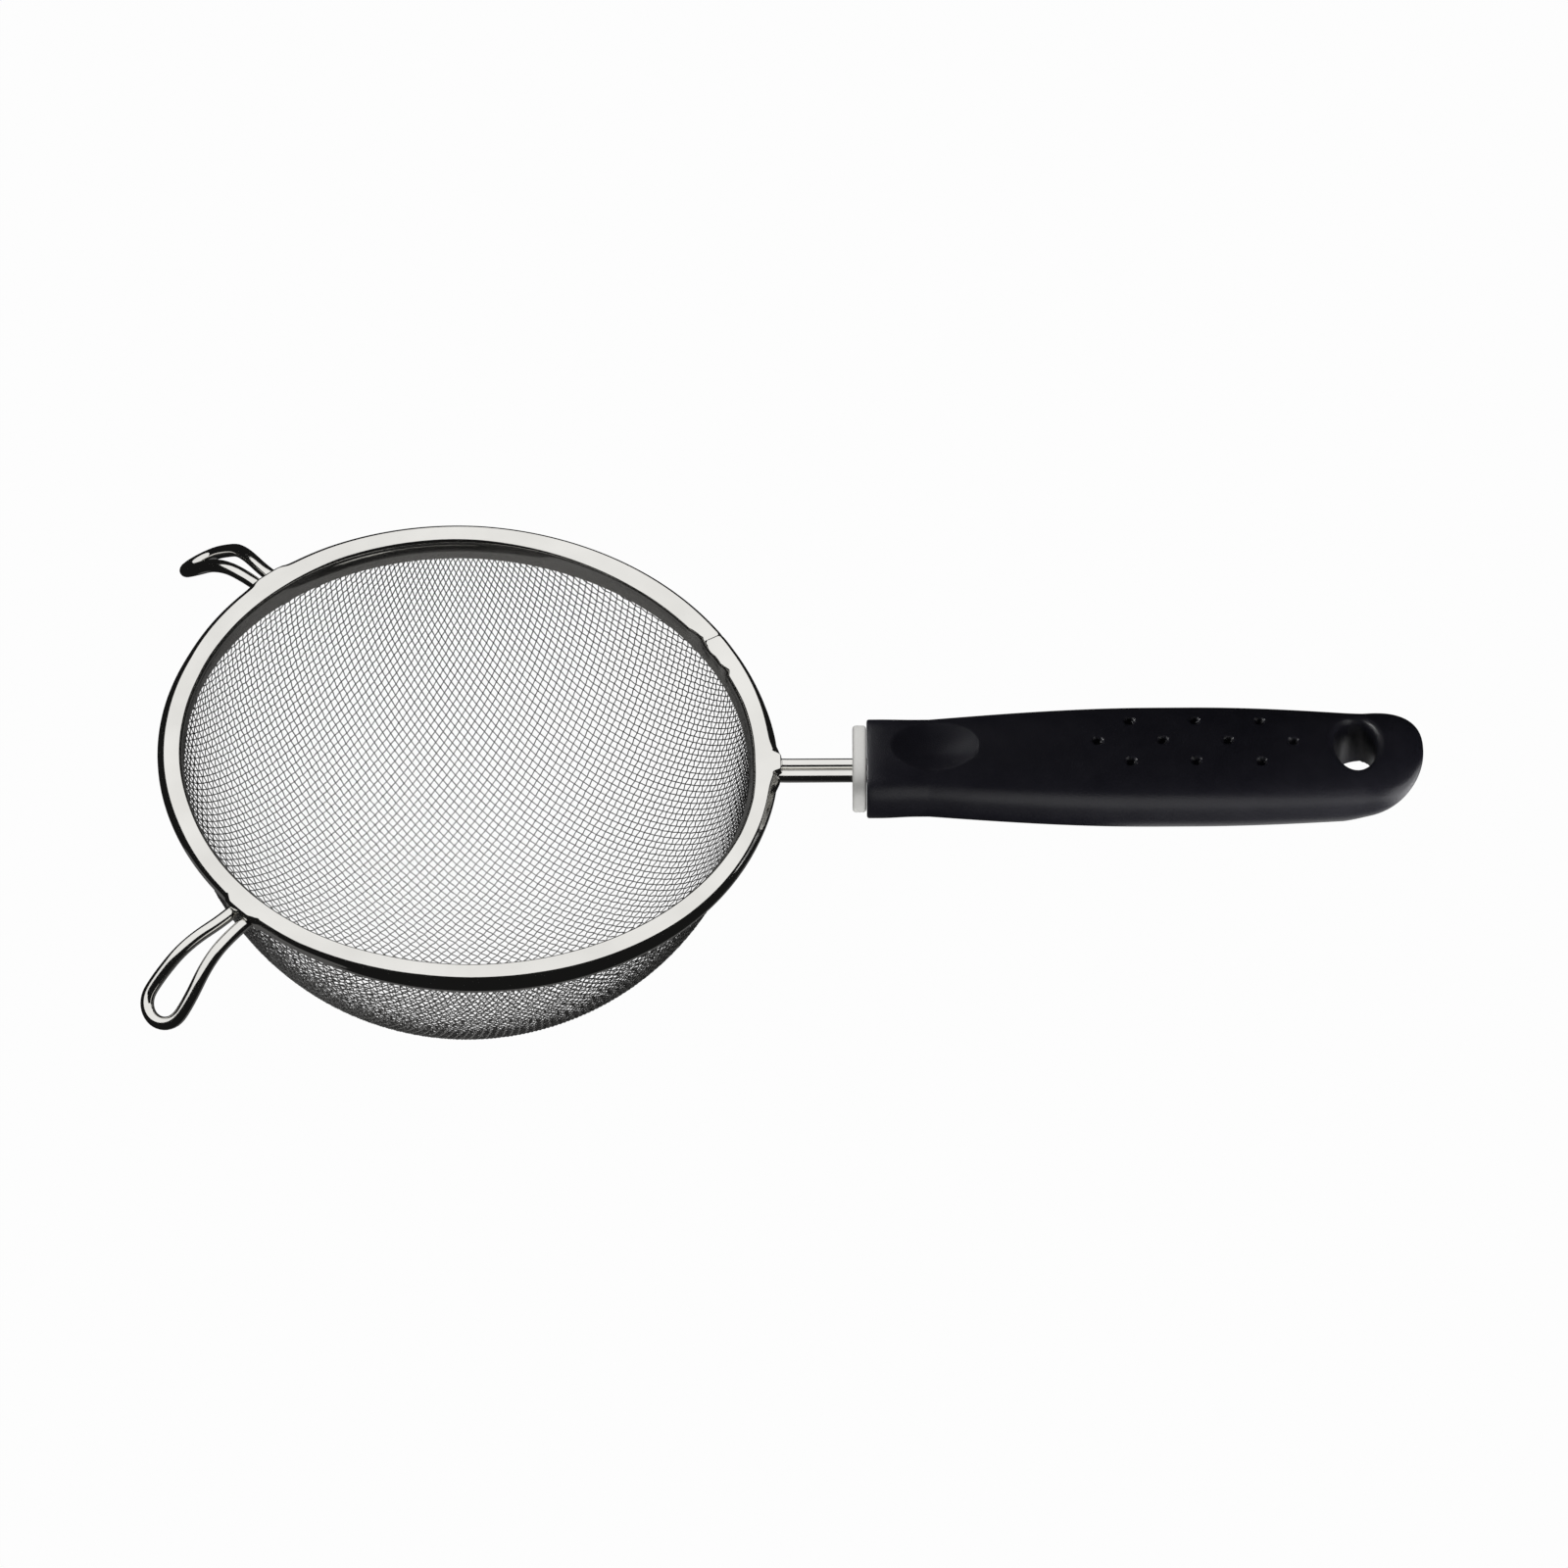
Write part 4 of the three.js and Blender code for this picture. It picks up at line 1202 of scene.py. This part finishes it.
def area_light(name, place, aim, size, power, lit=(), in_mirrors=True, past_cards=False):
    """A lamp that lights everything, or only the pieces named in lit.

    One that is to shine past the cards is reached by shadow rays alone, which the cards let through.
    """
    light = bpy.data.lights.new(name, "AREA")
    light.shape = "RECTANGLE"
    light.size, light.size_y = size
    light.energy = power
    if past_cards:
        light.cycles.use_multiple_importance_sampling = False
    lamp = bpy.data.objects.new(name, light)
    lamp.location = place
    lamp.rotation_euler = (Vector(aim) - Vector(place)).to_track_quat("-Z", "Y").to_euler()
    lamp.visible_glossy = in_mirrors
    lamp.visible_camera = False
    bpy.context.scene.collection.objects.link(lamp)
    if lit:
        receivers = bpy.data.collections.new("lit_" + name)
        lamp.light_linking.receiver_collection = receivers
        for piece in lit:
            receivers.objects.link(bpy.data.objects[piece])


def lamps():
    area_light("overhead", place=(0.05, 0.35, 1.5), aim=(0.05, 0.2, 0), size=(1.5, 2.2), power=1.5,
               in_mirrors=False)
    area_light("front", place=(0.1, -1.6, 0.3), aim=(0.1, 0, 0.07), size=(1.6, 0.5), power=6.0,
               in_mirrors=False)
    area_light("collar_key", place=(0, 0.9, 1.2), aim=(0.09, 0, 0.07), size=(1.0, 1.0), power=19.0,
               lit=("collar_ring",), in_mirrors=False)
    area_light("collar_fill", place=(0.09, -0.1, 0.004), aim=(0.09, -0.1, 1), size=(0.12, 0.16), power=0.13,
               lit=("collar_ring",), in_mirrors=False)
    area_light("handle_front", place=(0.165, -0.13, 0.093), aim=(0.165, 0.5, 0.869), size=(0.15, 0.18),
               power=0.083, lit=("handle",))
    area_light("handle_tail", place=(0.23, -0.04, 0.085), aim=(0, -0.04, 0.085), size=(0.08, 0.08),
               power=0.055, lit=("handle",))
    area_light("handle_side", place=(-0.1, 0.05, 0.15), aim=(0.16, 0, 0.075), size=(0.12, 0.12),
               power=0.42, lit=("handle",), past_cards=True)
    area_light("handle_thumb", place=(-0.014, 0.2, 0.255), aim=(0.118, 0, 0.076), size=(0.09, 0.09),
               power=0.035, lit=("handle",), past_cards=True)
    area_light("handle_under", place=(0.215, 0.02, 0.004), aim=(0.215, 0.02, 1), size=(0.12, 0.12),
               power=0.035, lit=("handle",))
    area_light("cloth_front", place=(0, -0.12, 0.004), aim=(0, -0.12, 1), size=(0.24, 0.1), power=0.11,
               lit=CLOTH_PIECES)


def camera():
    level = math.cos(CAMERA_ELEVATION)
    back = Vector((math.sin(CAMERA_AZIMUTH) * level, -math.cos(CAMERA_AZIMUTH) * level,
                   math.sin(CAMERA_ELEVATION)))
    right = Vector((math.cos(CAMERA_AZIMUTH), math.sin(CAMERA_AZIMUTH), 0))
    up = back.cross(right)
    c, s = math.cos(CAMERA_ROLL), math.sin(CAMERA_ROLL)
    x, y = right * c - up * s, right * s + up * c
    data = bpy.data.cameras.new("camera")
    data.sensor_width = CAMERA_SENSOR
    data.lens = CAMERA_SENSOR * CAMERA_SCALE * CAMERA_DISTANCE / PHOTO_WIDTH
    data.clip_start, data.clip_end = CAMERA_CLIP
    eye = bpy.data.objects.new("camera", data)
    place = Vector(CAMERA_TARGET) + back * (CAMERA_DISTANCE * MM)
    eye.matrix_world = Matrix(((x.x, y.x, back.x, place.x), (x.y, y.y, back.y, place.y),
                               (x.z, y.z, back.z, place.z), (0, 0, 0, 1)))
    bpy.context.scene.collection.objects.link(eye)
    bpy.context.scene.camera = eye


floor()
sky()
dark_cards()
lamps()
camera()
bpy.context.scene.view_settings.view_transform = "Standard"
